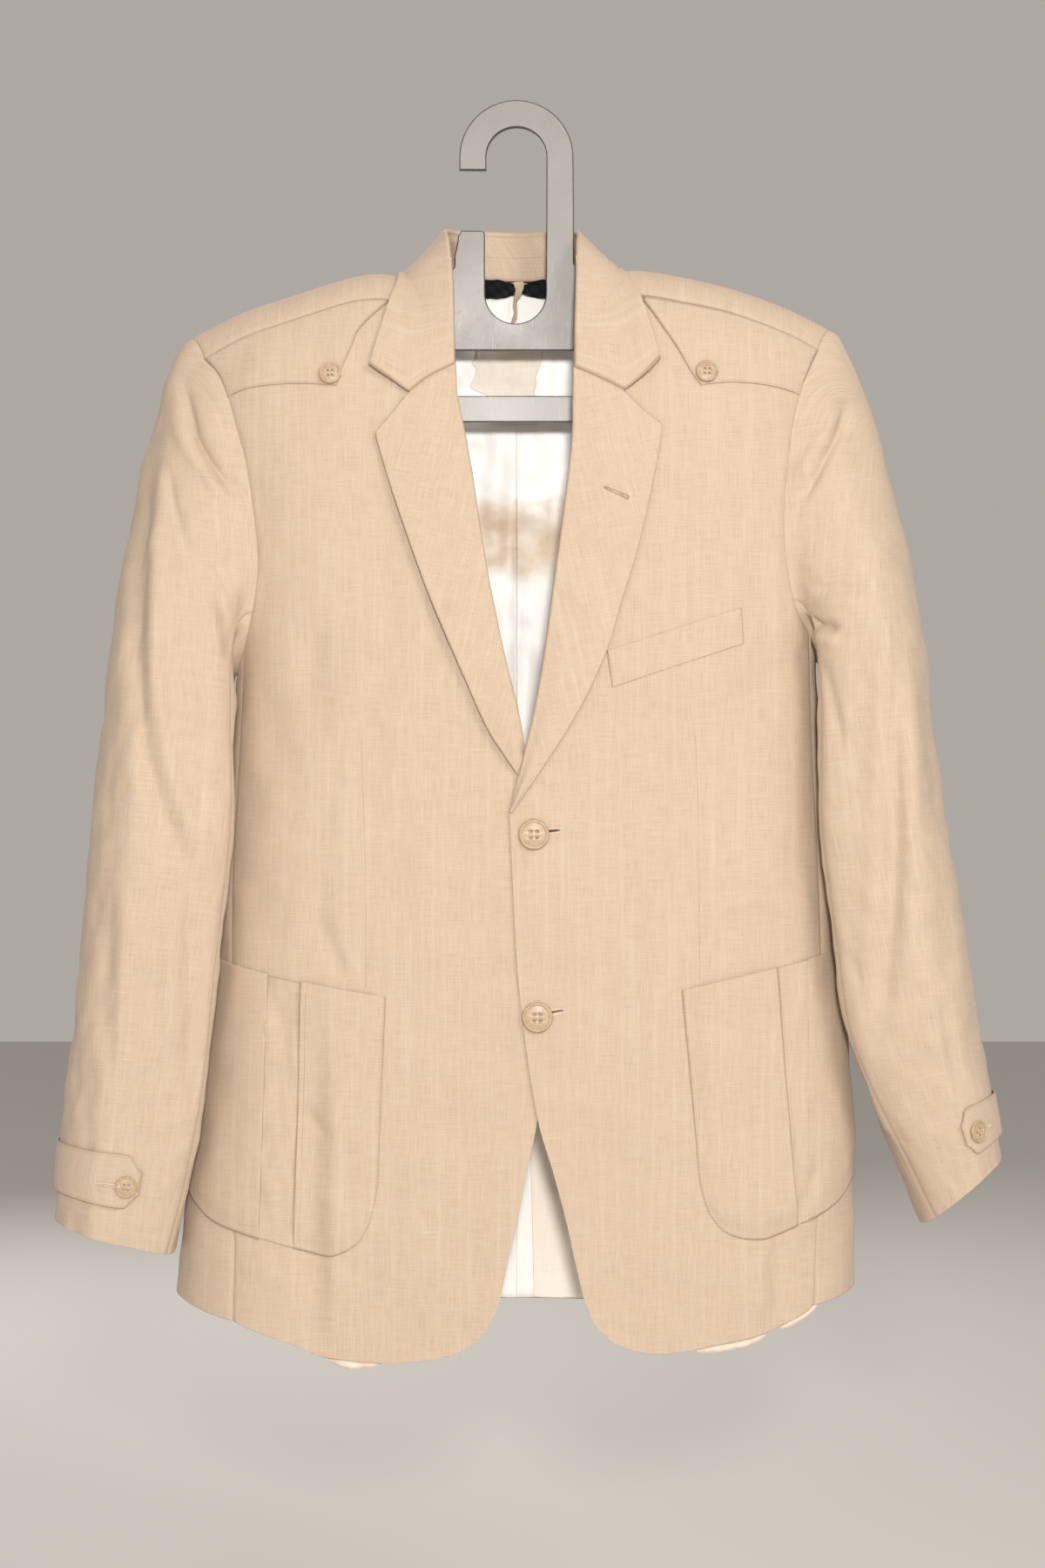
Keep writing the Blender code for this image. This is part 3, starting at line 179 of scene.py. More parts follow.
COLLAR_EDGE = (
    (-105, -52, -180.5), (-98.8, -45, -159), (-92, -33, -139.5), (-86.5, -20, -124),
    (-84.5, 0, -109.5), (-75, 26, -113), (-42, 42, -121), (0, 48, -124), (38, 42, -121),
    (65, 26, -112), (74.5, 0, -106), (82, -20, -122), (91, -33, -142), (98, -43, -159.5),
    (102.8, -50, -176),
)
COLLAR_POINT = {
    RIGHT: ((-77.5, -200.6), (-94, -188.5), (-105, -180.5)),
    LEFT: ((78, -199.6), (91, -189), (102.8, -176.3)),
}
NECKLINE = Table("x z", (-50, -103.7), (-26, -109), (0, -110), (26, -109), (50, -103.2))
NECK_TURN_X = 50.0

SLEEVE = {
    RIGHT: Table(
        "z outer inner front back rise fall over",
        (-807, 333.5, 249, -60, 31, 0.27, 0.0, 8), (-760, 331, 241, -64, 32, 0.15, 0.0, 14),
        (-704, 326, 231.5, -68, 36, 0.05, 0.0, 17), (-651, 319, 226, -71, 42, 0.0, 0.0, 18),
        (-602, 315, 221, -73, 48, 0.0, 0.0, 18), (-541, 310, 215.5, -74, 55, 0.0, 0.0, 20),
        (-504, 307, 212.5, -74, 59, 0.0, 0.0, 20), (-430, 299, 208, -70, 64, 0.0, 0.0, 14),
    ),
    LEFT: Table(
        "z outer inner front back rise fall over",
        (-777, 352, 297, -58, 42, 0.85, 0.14, 2), (-740, 347.5, 278, -62, 41, 0.5, 0.08, 4),
        (-700, 341, 261, -66, 42, 0.3, 0.04, 10), (-651, 333, 245.5, -70, 44, 0.15, 0.0, 17),
        (-602, 326.5, 238, -72, 48, 0.05, 0.0, 18), (-541, 317.5, 231.5, -73, 55, 0.0, 0.0, 20),
        (-504, 312, 228, -73, 59, 0.0, 0.0, 20), (-425, 301, 223.5, -69, 64, 0.0, 0.0, 14),
    ),
}
SLEEVE_SQUARE = 0.86
CAP_OUT, CAP_DOWN = 60.0, 0.9
ARMHOLE_INSET = 0.8    # its seam lies this far inside the cloth
CREASE_ANGLE, CREASE_HEIGHT = 100, 3.0

TAB_TABLE = {RIGHT: (-743, -781, 74), LEFT: (-719, -756, 96)}      # high, low, angle of the tip
PLEAT = {
    RIGHT: ((-153, -159), (-177, -183.5)),
    LEFT: ((185, 202), (209, 208)),
}
POCKET_TOP, POCKET_BOTTOM = -600, -810
POCKET_BACK_Y = 6
POCKET_END_Z = {RIGHT: -776.0, LEFT: -768.0}    # its lower corner at the side
WELT = ((64.8, -386), (68.5, -412), (162.5, -380.5), (160.5, -355))
FRONT_BUTTONS = {"top": (12.6, -517), "bottom": (15, -647)}
SHOULDER_BUTTON = {RIGHT: (-132.8, -188), LEFT: (136.2, -186.6)}
CUFF_BUTTON = {RIGHT: (82, -765), LEFT: (110, -739)}
FRONT_BUTTON_D, FRONT_BUTTON_T = 22.0, 3.4
SMALL_BUTTON_D, SMALL_BUTTON_T = 16.0, 2.8
# Outline of the button's rim: shares of the radius and of the thickness
RIM_PROFILE = ((0.74, 0.30), (0.755, 0.62), (0.79, 0.82), (0.845, 0.93), (0.91, 0.9), (0.97, 0.74),
               (1.0, 0.5), (0.96, 0.2), (0.85, 0.04), (0.78, 0.0), (0.74, 0.1))
PANEL_WALL = 1.5     # of the fronts, sides and sleeves
FACED_WALL = 1.9     # of the lapels and the collar's fall
LINING_WALL, TRIM_WALL = 0.5, 0.6
WELD = 0.05          # grids of one piece are joined where they are this close
EASE, LEAST_FILL = 1.03, 0.31    # cloth area over the shell's, and its least share of the flat size
# colour of the painted shade that darkens the cloth along seams, folds and standing edges
SEAM_SHADE = (0.21, 0.125, 0.07)

# Stations of the seams, counted as in the solids
SIDE_STATIONS, ARM_STATIONS, STRIP_STATIONS, UNDER_STATIONS = 10, 8, 3, 4
EDGE_STATIONS, ROLL_STATIONS, NECK_STATIONS = 8, 7, 3
BACK_ARM_AT = (0, 0.18, 0.36, 0.54, 0.72, 0.87, 0.965, 1)
BACK_STATIONS = len(BACK_ARM_AT) - 1
RING = ARM_STATIONS + STRIP_STATIONS + BACK_STATIONS + UNDER_STATIONS
TOP_SEAM, BACK_SEAM = 1, ARM_STATIONS + STRIP_STATIONS + 5


# ---------------------------------------------------------------- creases, in front view

CREASE_STRENGTH = 1.4    # every height below is multiplied by this
# Each row: half width, height (below 0 is a trough), then the line's places x, z
FRONT_CREASES = (
    (12, -1.6, -147, -350, -145, -406, -142, -455),
    (5, -0.7, -132, -470, -122, -488),
    (5, -0.8, -156, -519, -135, -518, -113, -524),
    (5, 0.6, -152, -528, -134, -527, -116, -533),
    (7, -1.5, -139, -538, -141, -580, -131, -602, -120, -624),
    (5, 0.9, -129, -560, -123, -600, -112, -622),
    (12, -2.6, -145, -645, -146, -760, -146, -900),
    (6, 1.3, -129, -645, -130, -760, -131, -905),
    (5, -0.9, -154, -712, -143, -724, -132, -738),
    (4, -1.0, -172, -812, -167, -830),
    (6, -0.6, -100, -500, -68, -501),
    (4, -0.9, -32, -622, 2, -616),
    (5, -0.8, 120, -322, 122, -380),
    (13, -1.1, 100, -445, 106, -505),
    (5, -1.0, 24, -504, 68, -498),
    (4, 0.6, 26, -512, 66, -507),
    (5, -0.7, 147, -508, 149, -534),
    (4, -1.2, 144, -560, 158, -555.5, 173, -557, 203, -565),
    (5, 0.9, 148, -568, 160, -564, 176, -565, 200, -572),
    (8, -2.0, 187, -800, 186, -835, 189, -868),
    (6, 1.0, 176, -806, 174, -870),
    (6, -1.2, 214, -798, 217, -845),
    (5, -0.7, 169, -690, 171, -740),
    (5, -1.3, 216, -752, 203, -790),
    (4, -0.9, -10, -470, 8, -482, 30, -486),
    (16, 1.0, -70, -300, -90, -520),
    (18, 0.9, 150, -260, 118, -480),
    (20, -0.9, 60, -560, 62, -820),
    (4, -0.5, -110.5, -430, -107.5, -543, -107, -640), (4, -0.5, 128, -430, 130, -518, 131, -635),
    (2.5, -0.9, -186, -815, -196, -822), (2.5, 0.7, -187, -821, -197, -829),
    (2.5, -0.8, -189, -834, -199, -838), (2.5, 0.6, -188, -842, -198, -846),
    (20, -0.8, -66, -600, -50, -860),
)
SLEEVE_CREASES = {
    RIGHT: (
        (7, 2.6, -250, -205, -254, -258, -257.5, -308, -257.5, -357, -255, -407, -249, -456,
         -235, -501, -219, -543, -211, -570),
        (8, -3.4, -262, -215, -267, -258, -271, -308, -271, -357, -268, -410, -261, -462,
         -248, -508, -232, -550, -222, -580),
        (2.6, -2.6, -241, -190, -235.5, -212, -231.5, -229, -222, -246, -210.5, -261, -195.6, -271),
        (6, -2.0, -243, -188, -237, -212, -231, -231, -220.5, -248, -209, -263, -190, -276),
        (2.5, -0.7, -229, -246, -215, -262, -201, -274), (3, 0.6, -226, -256, -213, -272),
        (6, 2.0, -247, -196, -242, -228, -228, -251, -214, -270, -196, -286),
        (5, 1.0, -229, -224, -214, -230, -199, -238),
        (3.5, -1.6, -253, -246, -246, -280, -239, -302, -232, -323),
        (5, -1.8, -216, -337, -208, -364, -204, -398),
        (5, 1.2, -224, -345, -216, -372, -212, -402),
        (3, -1.2, -252, -424, -238, -437),
        (4, -1.2, -250, -450, -222, -452),
        (7, -2.8, -231, -545, -230.5, -605, -230, -654, -234, -712),
        (2, -0.6, -196, -258, -203, -259.5, -208, -257), (2.5, 0.5, -196, -262, -206, -264),
        (2.5, -0.7, -222, -318, -211, -332, -205, -352),
        (2.5, -0.6, -243, -395, -228, -402, -212, -398), (3, 0.6, -243, -402, -226, -409),
        (6, 1.6, -246, -560, -245, -620, -246, -680),
        (8, -1.8, -287, -540, -289, -620, -288, -704),
        (5, -1.2, -196, -440, -204, -470, -207, -500),
        (5, -1.0, -262, -720, -276, -742),
        (5, 0.8, -300, -470, -305, -560),
    ),
    LEFT: (
        (3.5, -2.9, 240, -203, 231, -231, 218.5, -253.5, 205, -281),
        (6, 1.9, 232, -199, 223, -226, 210, -247, 199, -268),
        (3.5, -1.5, 209, -341, 233, -341, 257, -344.5),
        (6, 1.4, 214, -350, 234, -351, 254, -353),
        (3.5, -4.2, 205, -362, 217, -367, 232, -371),
        (5, 1.8, 208, -374, 220, -378, 232, -381),
        (7, -3.0, 270.5, -345, 271, -394, 268, -469, 267.5, -540, 263, -605, 259, -654, 254, -692),
        (7, 1.5, 258, -345, 258, -394, 255, -469, 254, -540, 250, -605, 247, -650),
        (7, 1.4, 283, -380, 281, -469, 280, -540, 277, -605, 273, -660),
        (8, -2.0, 276, -351, 288, -394, 300, -469, 310, -534),
        (4, -1.9, 220, -392, 227, -425, 231.5, -462),
        (5, -1.8, 299, -624, 307.5, -667, 318, -706),
        (2.5, -0.8, 196, -271, 208, -272), (2.5, -0.8, 195, -283, 207, -284),
        (5, -1.0, 262, -730, 282, -742),
        (4, -1.0, 236, -600, 246, -628),
    ),
}
BACK_CREASES = (
    (14, -2.0, -60, -200, -84, -330), (14, -2.0, 62, -205, 88, -325),
    (12, -2.4, -150, -250, -168, -420), (12, -2.4, 152, -250, 172, -420),
    (10, -1.4, -120, -455, -60, -470), (9, -1.2, 130, -450, 66, -474),
    (10, 1.2, -128, -486, -64, -500), (9, 1.0, 134, -482, 70, -504),
    (16, 2.2, -92, -560, -104, -850), (16, -2.4, -58, -570, -64, -862),
    (16, 2.4, 96, -555, 110, -850), (16, -2.2, 60, -580, 66, -862),
    (14, -2.4, -152, -600, -166, -855), (14, -2.2, 156, -610, 172, -850),
    (6, -1.0, -176, -470, -140, -500), (6, -1.0, 186, -470, 148, -498),
)
SLEEVE_BACK_CREASES = {
    RIGHT: (
        (7, -2.8, -262, -250, -266, -330, -264, -400), (6, 1.6, -250, -260, -252, -400),
        (5, -2.0, -212, -300, -236, -344), (6, -2.4, -216, -420, -252, -448),
        (6, 1.4, -220, -434, -256, -462), (5, -1.8, -226, -500, -268, -520),
        (8, -2.6, -252, -540, -266, -700), (7, 1.6, -238, -560, -250, -700),
        (5, -1.4, -290, -600, -300, -690), (4, -1.4, -240, -210, -222, -252),
    ),
    LEFT: (
        (7, -2.8, 262, -250, 272, -330, 276, -400), (6, 1.6, 250, -260, 262, -400),
        (5, -2.0, 214, -300, 238, -340), (6, -2.4, 232, -420, 266, -446),
        (6, 1.4, 236, -434, 270, -460), (5, -1.8, 244, -505, 284, -524),
        (8, -2.6, 268, -540, 292, -690), (7, 1.6, 254, -560, 280, -690),
        (5, -1.4, 300, -600, 316, -690), (4, -1.4, 242, -206, 226, -248),
    ),
}


# ---------------------------------------------------------------- the form

def smoothstep(t):
    t = np.clip(t, 0, 1)
    return t * t * (3 - 2 * t)


def half_width(x, z):
    return np.where(np.asarray(x) >= 0, BODY.at(z, "left"), BODY.at(z, "right"))


def soft_folds(x, z):
    height = np.zeros(np.broadcast(x, z).shape)
    for x0, z0, x1, z1, half, rise in FOLDS:
        dx, dz = x1 - x0, z1 - z0
        t = np.clip(((x - x0) * dx + (z - z0) * dz) / (dx * dx + dz * dz), 0, 1)
        away = np.hypot(x - x0 - dx * t, z - z0 - dz * t) / half
        height += rise * np.exp(-away ** 2) * np.sin(math.pi * (0.15 + 0.7 * t))
    return height


def full_depth(x, z, face):
    """Depth of the body at a place, before the shoulder draws it in."""
    wide = half_width(x, z)
    reach = np.clip((np.abs(x) - (wide - ROUND)) / ROUND, 0, 1)
    front = BODY.at(z, "front") * (1 - CROWN * (x / wide) ** 2) + soft_folds(x, z)
    back = BODY.at(z, "back") * (1 - CROWN * (x / wide) ** 2)
    return np.where(face == FRONT, front, back) * np.sqrt(1 - reach ** 2)


def on_form(x, z, face=FRONT):
    x, z = np.asarray(x, float), np.asarray(z, float)
    drop = np.clip((RIDGE.at(x, "z") - z) / SHOULDER_DROP, 0, 1)
    depth = full_depth(x, z, face) * np.sqrt(1 - (1 - drop) ** 2)
    return np.stack(np.broadcast_arrays(x, face * depth, z), -1)


def turn_angle(side, x, z, face):
    reach = (np.abs(x) - (half_width(side, z) - ROUND)) / ROUND
    angle = np.degrees(np.arcsin(np.clip(reach, 0, 1)))
    return angle if face == FRONT else 180 - angle


def on_side(side, angle, z):
    x = side * (half_width(side + 0 * z, z) - ROUND + ROUND * np.sin(np.radians(angle)))
    return on_form(x, z, np.where(angle <= 90, FRONT, BACK))


def over_lift(x, z=-500.0):
    """The left front is buttoned over the right one, and lies down again at the shoulder."""
    return (OVERLAP_LIFT * smoothstep((OVERLAP_FADE - x) / (OVERLAP_FADE - OVERLAP_FLAT))
            * smoothstep((-132 - z) / 60))


def crease_height(x, z, creases):
    """Soft troughs and ridges along lines drawn in front view."""
    height = np.zeros(np.shape(x))
    for half, rise, *places in creases:
        line = np.array(places, float).reshape(-1, 2)
        spans = np.hypot(*(line[1:] - line[:-1]).T)
        starts = np.concatenate([[0], np.cumsum(spans)])
        best, share = np.full(np.shape(x), 1e9), np.zeros(np.shape(x))
        for (ax, az), (bx, bz), span, start in zip(line, line[1:], spans, starts):
            t = np.clip(((x - ax) * (bx - ax) + (z - az) * (bz - az)) / span ** 2, 0, 1)
            away = np.hypot(x - ax - t * (bx - ax), z - az - t * (bz - az))
            share = np.where(away < best, (start + t * span) / starts[-1], share)
            best = np.minimum(best, away)
        fade = smoothstep(share / 0.28) * smoothstep((1 - share) / 0.28)
        height += rise * np.exp(-(best / half) ** 2) * (0.12 + 0.88 * fade)
    return height * CREASE_STRENGTH


def crumple(u, v, seed, height=0.22, low=16, high=85, waves=18):
    """Uneven small waves of linen that has been worn and pressed."""
    draw = np.random.default_rng(seed)
    total = np.zeros(np.shape(u))
    for _ in range(waves):
        length = low * (high / low) ** draw.random()
        turn = draw.random() * math.pi
        phase = draw.random() * 2 * math.pi
        bend = 0.6 * np.sin((u * math.sin(turn) - v * math.cos(turn)) * 2 * math.pi
                            / (length * 3.1))
        wave = np.sin((u * math.cos(turn) + v * math.sin(turn)) * 2 * math.pi / length
                      + phase + bend)
        total += wave * (length / high) ** 0.8
    return total * height


def front_relief(x, z):
    fade = smoothstep((RIDGE.at(x, "z") - z - 10) / 30)
    return (crease_height(x, z, FRONT_CREASES) + crumple(x, z, 5)) * fade


def back_relief(x, z):
    fade = smoothstep((RIDGE.at(x, "z") - z - 10) / 50)
    return (crease_height(x, z, BACK_CREASES) + crumple(x, z, 8, 0.3)) * fade


# ---------------------------------------------------------------- lines and grids

def run_lengths(places):
    """Distance of each place of a line from its start."""
    return np.concatenate([[0], np.cumsum(np.linalg.norm(np.diff(places, axis=0), axis=1))])


def read_line(where, away, places):
    """Places of a line at the given distances."""
    return np.stack([np.interp(where, away, column) for column in places.T], -1)


def smooth_line(points):
    """Fine places along a smooth line through the points, and their distances along it."""
    points = np.array(points, float)
    before = np.vstack([2 * points[0] - points[1], points[:-2]])
    after = np.vstack([points[2:], 2 * points[-1] - points[-2]])
    fine = [0.5 * (2 * p1 + (p2 - p0) * t + (2 * p0 - 5 * p1 + 4 * p2 - p3) * t * t
                   + (3 * p1 - p0 - 3 * p2 + p3) * t ** 3)
            for p0, p1, p2, p3 in zip(before, points[:-1], points[1:], after)
            for t in np.arange(8) / 8]
    fine = np.array(fine + [points[-1]])
    away = run_lengths(fine)
    return fine, away / away[-1]


def along(points, share):
    """Places at the given shares of a smooth line."""
    fine, away = smooth_line(points)
    return read_line(share, away, fine)


def chained(stations, *runs):
    """Places at stations of several runs end to end; each run is (points, number of stations)."""
    places, start = None, 0
    for points, count in runs:
        part = along(points, np.clip((stations - start) / count, 0, 1))
        places = part if places is None else np.where((stations >= start)[:, None], part, places)
        start += count
    return places


def between(low, high, inner, outer, u, v):
    """Places between four edge lines: rows from low to high, inner to outer."""
    u, v = u[None, :, None], v[:, None, None]
    grid = low[None] * (1 - v) + high[None] * v + inner[:, None] * (1 - u) + outer[:, None] * u
    return grid - (low[0] * (1 - u) * (1 - v) + low[-1] * u * (1 - v)
                   + high[0] * (1 - u) * v + high[-1] * u * v)


def between_corners(a, b, c, d, u, v):
    """Places of a straight-edged piece whose lower edge is a, b and whose top is c, d."""
    return between(along((a, b), u), along((c, d), u), along((a, c), v), along((b, d), v), u, v)


def spaced(count, near=0.006):
    """Even shares, with two more close to each end, where an edge is rounded or drawn in."""
    close = [share for share in (near, near * 2.6) if share < 0.75 / count]
    return np.array(sorted([*np.arange(count + 1) / count, *close, *(1 - s for s in close)]))


def cross_of(grid):
    return np.cross(np.gradient(grid, axis=1), np.gradient(grid, axis=0))


def looks_toward(normal, toward):
    """Whether the middle one of a grid's normals faces toward."""
    return np.dot(normal[normal.shape[0] // 2, normal.shape[1] // 2], toward) > 0


def normals_of(grid, toward):
    """Unit normals of a grid of places, on the side that faces toward."""
    normal = cross_of(grid)
    normal /= np.maximum(np.linalg.norm(normal, axis=-1, keepdims=True), 1e-9)
    return normal if looks_toward(normal, toward) else -normal


def lengths(grid, axis):
    """Distance of every place from the start of its row or column."""
    step = np.linalg.norm(np.diff(grid, axis=axis), axis=-1)
    pad = np.zeros_like(np.take(step, [0], axis=axis))
    return np.concatenate([pad, np.cumsum(step, axis=axis)], axis=axis)


def own_lengths(grid):
    return np.stack([lengths(grid, 1), lengths(grid, 0)], -1)


def edges_away(grid):
    """Distance of every place from each side of the grid."""
    across, up = lengths(grid, 1), lengths(grid, 0)
    return {"inner": across, "outer": across[:, -1:] - across, "low": up, "high": up[-1:] - up}


def seam_dip(grid, seams, depth=0.9, width=1.5):
    """How far a panel's sewn edges turn in; seams names the sewn sides."""
    away = edges_away(grid)
    dip = np.zeros(grid.shape[:2])
    for seam in seams.split():
        dip = np.minimum(dip, -depth * np.exp(-(away[seam] / width) ** 2)
                         - 0.3 * np.exp(-(away[seam] / 6) ** 2))
    return dip


def seam_line(grid, seams, strength=1.0, width=0.6):
    """Share of painted shade in the groove beside the sewn edges."""
    away, line = edges_away(grid), np.zeros(grid.shape[:2])
    for seam in seams.split():
        line = np.maximum(line, np.exp(-(away[seam] / width) ** 2))
    return line * strength


def quieter_below(shade, grid, z=-400, share=0.3):
    """Makes a seam's painted shade fainter below a height."""
    return shade * (share + (1 - share) * smoothstep((grid[..., 2] - z) / 20))


def seam_fade(grid, seams, width=10.0):
    """Share of the creases that is left beside the seams, so that both sides meet."""
    away, fade = edges_away(grid), np.ones(grid.shape[:2])
    for seam in seams.split():
        fade = fade * smoothstep(away[seam] / width)
    return fade


def pulled(grid, edge, target, reach=2.4):
    """Draws one sewn edge of a grid on to the seam's own places; a place may be left out as nan."""
    away = edges_away(grid)[edge]
    if edge in ("inner", "outer"):
        shift = (target - grid[:, 0 if edge == "inner" else -1])[:, None]
    else:
        shift = (target - grid[0 if edge == "low" else -1])[None]
    return grid + np.nan_to_num(shift) * np.exp(-(away / reach) ** 2)[..., None]


# ---------------------------------------------------------------- meshes

def mesh_of(bm, name, *materials):
    mesh = bpy.data.meshes.new(name)
    bm.to_mesh(mesh)
    bm.free()
    for material in materials:
        mesh.materials.append(material)
    return mesh


def merge(whole, part):
    """Moves one mesh into another."""
    mesh = mesh_of(part, "part")
    whole.from_mesh(mesh)
    bpy.data.meshes.remove(mesh)


def grid_mesh(bm, grid, uv, flip, shade=None):
    """Adds a grid of places in millimetres, with its weave coordinates in metres."""
    rows, columns = grid.shape[:2]
    part = bmesh.new()
    bmesh.ops.create_grid(part, x_segments=columns - 1, y_segments=rows - 1, size=1)
    layer = part.loops.layers.uv.new("weave")
    # the seam layer holds the share of painted shade at each place
    groove = part.verts.layers.float.new("seam")
    for vert in part.verts:
        i = round((vert.co.x + 1) / 2 * (columns - 1))
        j = round((vert.co.y + 1) / 2 * (rows - 1))
        vert.index = j * columns + i
        vert.co = Vector(grid[j, i]) * MM
        vert[groove] = 0.0 if shade is None else float(shade[j, i])
    flat = uv.reshape(-1, 2) * MM
    for face in part.faces:
        for loop in face.loops:
            loop[layer].uv = flat[loop.vert.index]
    if flip:
        bmesh.ops.reverse_faces(part, faces=part.faces[:])
    merge(bm, part)


def placed(name, data, place=(0, 0, 0)):
    """Puts a mesh, lamp or camera in the scene, at a place in metres."""
    thing = bpy.data.objects.new(name, data)
    thing.location = place
    bpy.context.scene.collection.objects.link(thing)
    return thing


def finish_piece(bm, name, material, nodes=()):
    mesh = mesh_of(bm, name, material)
    mesh.shade_smooth()
    piece = placed(name, mesh)
    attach(piece, "root")
    if nodes:
        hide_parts(*nodes)
    return piece


def thicken(piece, wall):
    shell = piece.modifiers.new("wall", "SOLIDIFY")
    shell.thickness, shell.offset = wall * MM, 0


# shades are shares of painted shade at each place of the grids
def cloth(name, grids, material, toward, uvs=None, wall=1.3,
          shades=None):
    """A thin shell of cloth from one or more grids that share an edge."""
    bm = bmesh.new()
    width = length = 0.0
    for k, grid in enumerate(grids):
        grid_mesh(bm, grid, uvs[k] if uvs else grid[..., [0, 2]],
                  not looks_toward(cross_of(grid), toward), shades[k] if shades else None)
        width = max(width, lengths(grid, 1)[:, -1].max())
        length += lengths(grid, 0)[-1].max()
    if len(grids) > 1:
        bmesh.ops.remove_doubles(bm, verts=bm.verts[:], dist=WELD * MM)
    area = sum(face.calc_area() for face in bm.faces)
    piece = finish_piece(bm, name, material, [name])
    thicken(piece, wall)
    width, length = width * MM, length * MM
    area = min(max(area * EASE, LEAST_FILL * width * length), width * length)


def raised(grid, normal, lift):
    return grid + normal * np.asarray(lift)[..., None]


# ---------------------------------------------------------------- body panels

def shoulder_seam(side, share):
    x = NECK_X[side] + (TIP_X[side] - NECK_X[side]) * share
    return np.stack([x, RIDGE.at(x, "z") - FRONT_SEAM_DROP], -1)


def front_flat(side, u, v_stations):
    """Places x, z of a front; u is the share from the front edge, v the station from the hem."""
    total = SIDE_STATIONS + ARM_STATIONS
    low = along(FRONT_HEM[side], u)
    high = shoulder_seam(side, u)
    inner = chained(v_stations, (FRONT_EDGE[side], EDGE_STATIONS), (ROLL_LINE[side], ROLL_STATIONS),
                    (FRONT_NECK[side], NECK_STATIONS))
    outer = chained(v_stations, (SIDE_SEAM[side], SIDE_STATIONS),
                    (FRONT_ARMHOLE[side], ARM_STATIONS))
    outer[-1], inner[-1] = high[-1], high[0]
    return between(low, high, inner, outer, u, v_stations / total)


def front_grid(side, flat, lift=0.0, fade=1.0):
    """Places and normals on a front, for places x, z."""
    x, z = flat[..., 0], flat[..., 1]
    grid = on_form(x, z)
    normal = normals_of(grid, TO_FRONT)
    rise = front_relief(x, z) * fade + lift
    if side == LEFT:
        rise = rise + over_lift(x, z)
    return raised(grid, normal, rise), normal


def fronts(linen):
    for side in (RIGHT, LEFT):
        u = spaced(94, 0.0022)
        # more rows where the armhole's stations are close together
        stations = np.interp(spaced(196, 0.0008), (0, 0.62, 1),
                             (0, SIDE_STATIONS, SIDE_STATIONS + ARM_STATIONS))
        flat = front_flat(side, u, stations)
        plain = on_form(flat[..., 0], flat[..., 1])
        grid, normal = front_grid(side, flat, 0.0, seam_fade(plain, "outer high"))
        grid = raised(grid, normal, seam_dip(grid, "high") + side_dip(grid, stations))
        grid = sewn_to_sleeve(grid, side, stations, stations - SIDE_STATIONS)
        # painted shade along the armhole and shoulder seams, fainter down the side seam
        cloth(f"front_{SIDE_NAME[side]}", [grid], linen, TO_FRONT, [flat], PANEL_WALL,
              shades=[quieter_below(seam_line(grid, "outer high", 0.7), grid)])


def side_dip(grid, stations):
    """The outer edge turns in along the side seam, up to the armhole."""
    return np.where(stations[:, None] < SIDE_STATIONS, seam_dip(grid, "outer"), 0)


def sewn_to_sleeve(grid, side, stations, ring):
    """Draws the outer edge above the side seam on to the armhole, at its stations ring."""
    seam = armhole_seam(side, ring)
    seam[stations < SIDE_STATIONS] = np.nan
    return pulled(grid, "outer", seam)


def side_panels(linen):
    share, u = spaced(120, 0.002), spaced(26, 0.012)
    for side in (RIGHT, LEFT):
        edges = []
        for seam, face in ((SIDE_SEAM, FRONT), (BACK_SIDE_SEAM, BACK)):
            x, z = along(seam[side], share).T
            edges.append(np.stack([turn_angle(side, x, z, face), z], -1))
        low = along((edges[0][0], (90, SIDE_HEM_Z[side]), edges[1][0]), u)
        turned = between(low, underarm(side, u), *edges, u, share)
        grid = on_side(side, turned[..., 0], turned[..., 1])
        normal = normals_of(grid, (side, 0, 0))
        x, y, z = np.moveaxis(grid, -1, 0)
        rise = crumple(y, z, 21 + side, 0.24) + crease_height(x, z, FRONT_CREASES) * (y < 0)
        grid = raised(grid, normal, seam_dip(grid, "inner outer")
                      + rise * seam_fade(grid, "inner outer high"))
        grid = pulled(grid, "high", armhole_seam(side, RING - UNDER_STATIONS * u))
        uv = np.stack([lengths(grid, 1), grid[..., 2]], -1)
        cloth(f"side_{SIDE_NAME[side]}", [grid], linen, (side, 0, 0), [uv], PANEL_WALL,
              shades=[quieter_below(seam_line(grid, "inner outer high", 0.7), grid)])


def underarm(side, share):
    ends = [(float(turn_angle(side, x, z, face)), z)
            for (x, z), face in ((SIDE_SEAM[side][-1], FRONT), (BACK_SIDE_SEAM[side][-1], BACK))]
    return along((ends[0], (90, UNDERARM_Z[side]), ends[1]), share)


def back_arm_share(station):
    return np.interp(station, np.arange(BACK_STATIONS + 1), BACK_ARM_AT)


def strip_places(side, t, share):
    """Over the shoulder: t runs from the ridge to the forward seam."""
    ridge_x = side * NECK_TURN_X + (RIDGE_TIP_X[side] - side * NECK_TURN_X) * share
    seam_x = NECK_X[side] + (TIP_X[side] - NECK_X[side]) * share
    x = ridge_x + (seam_x - ridge_x) * t
    z = RIDGE.at(x, "z") - FRONT_SEAM_DROP * (1 - np.cos(t * math.pi / 2))
    return x, z


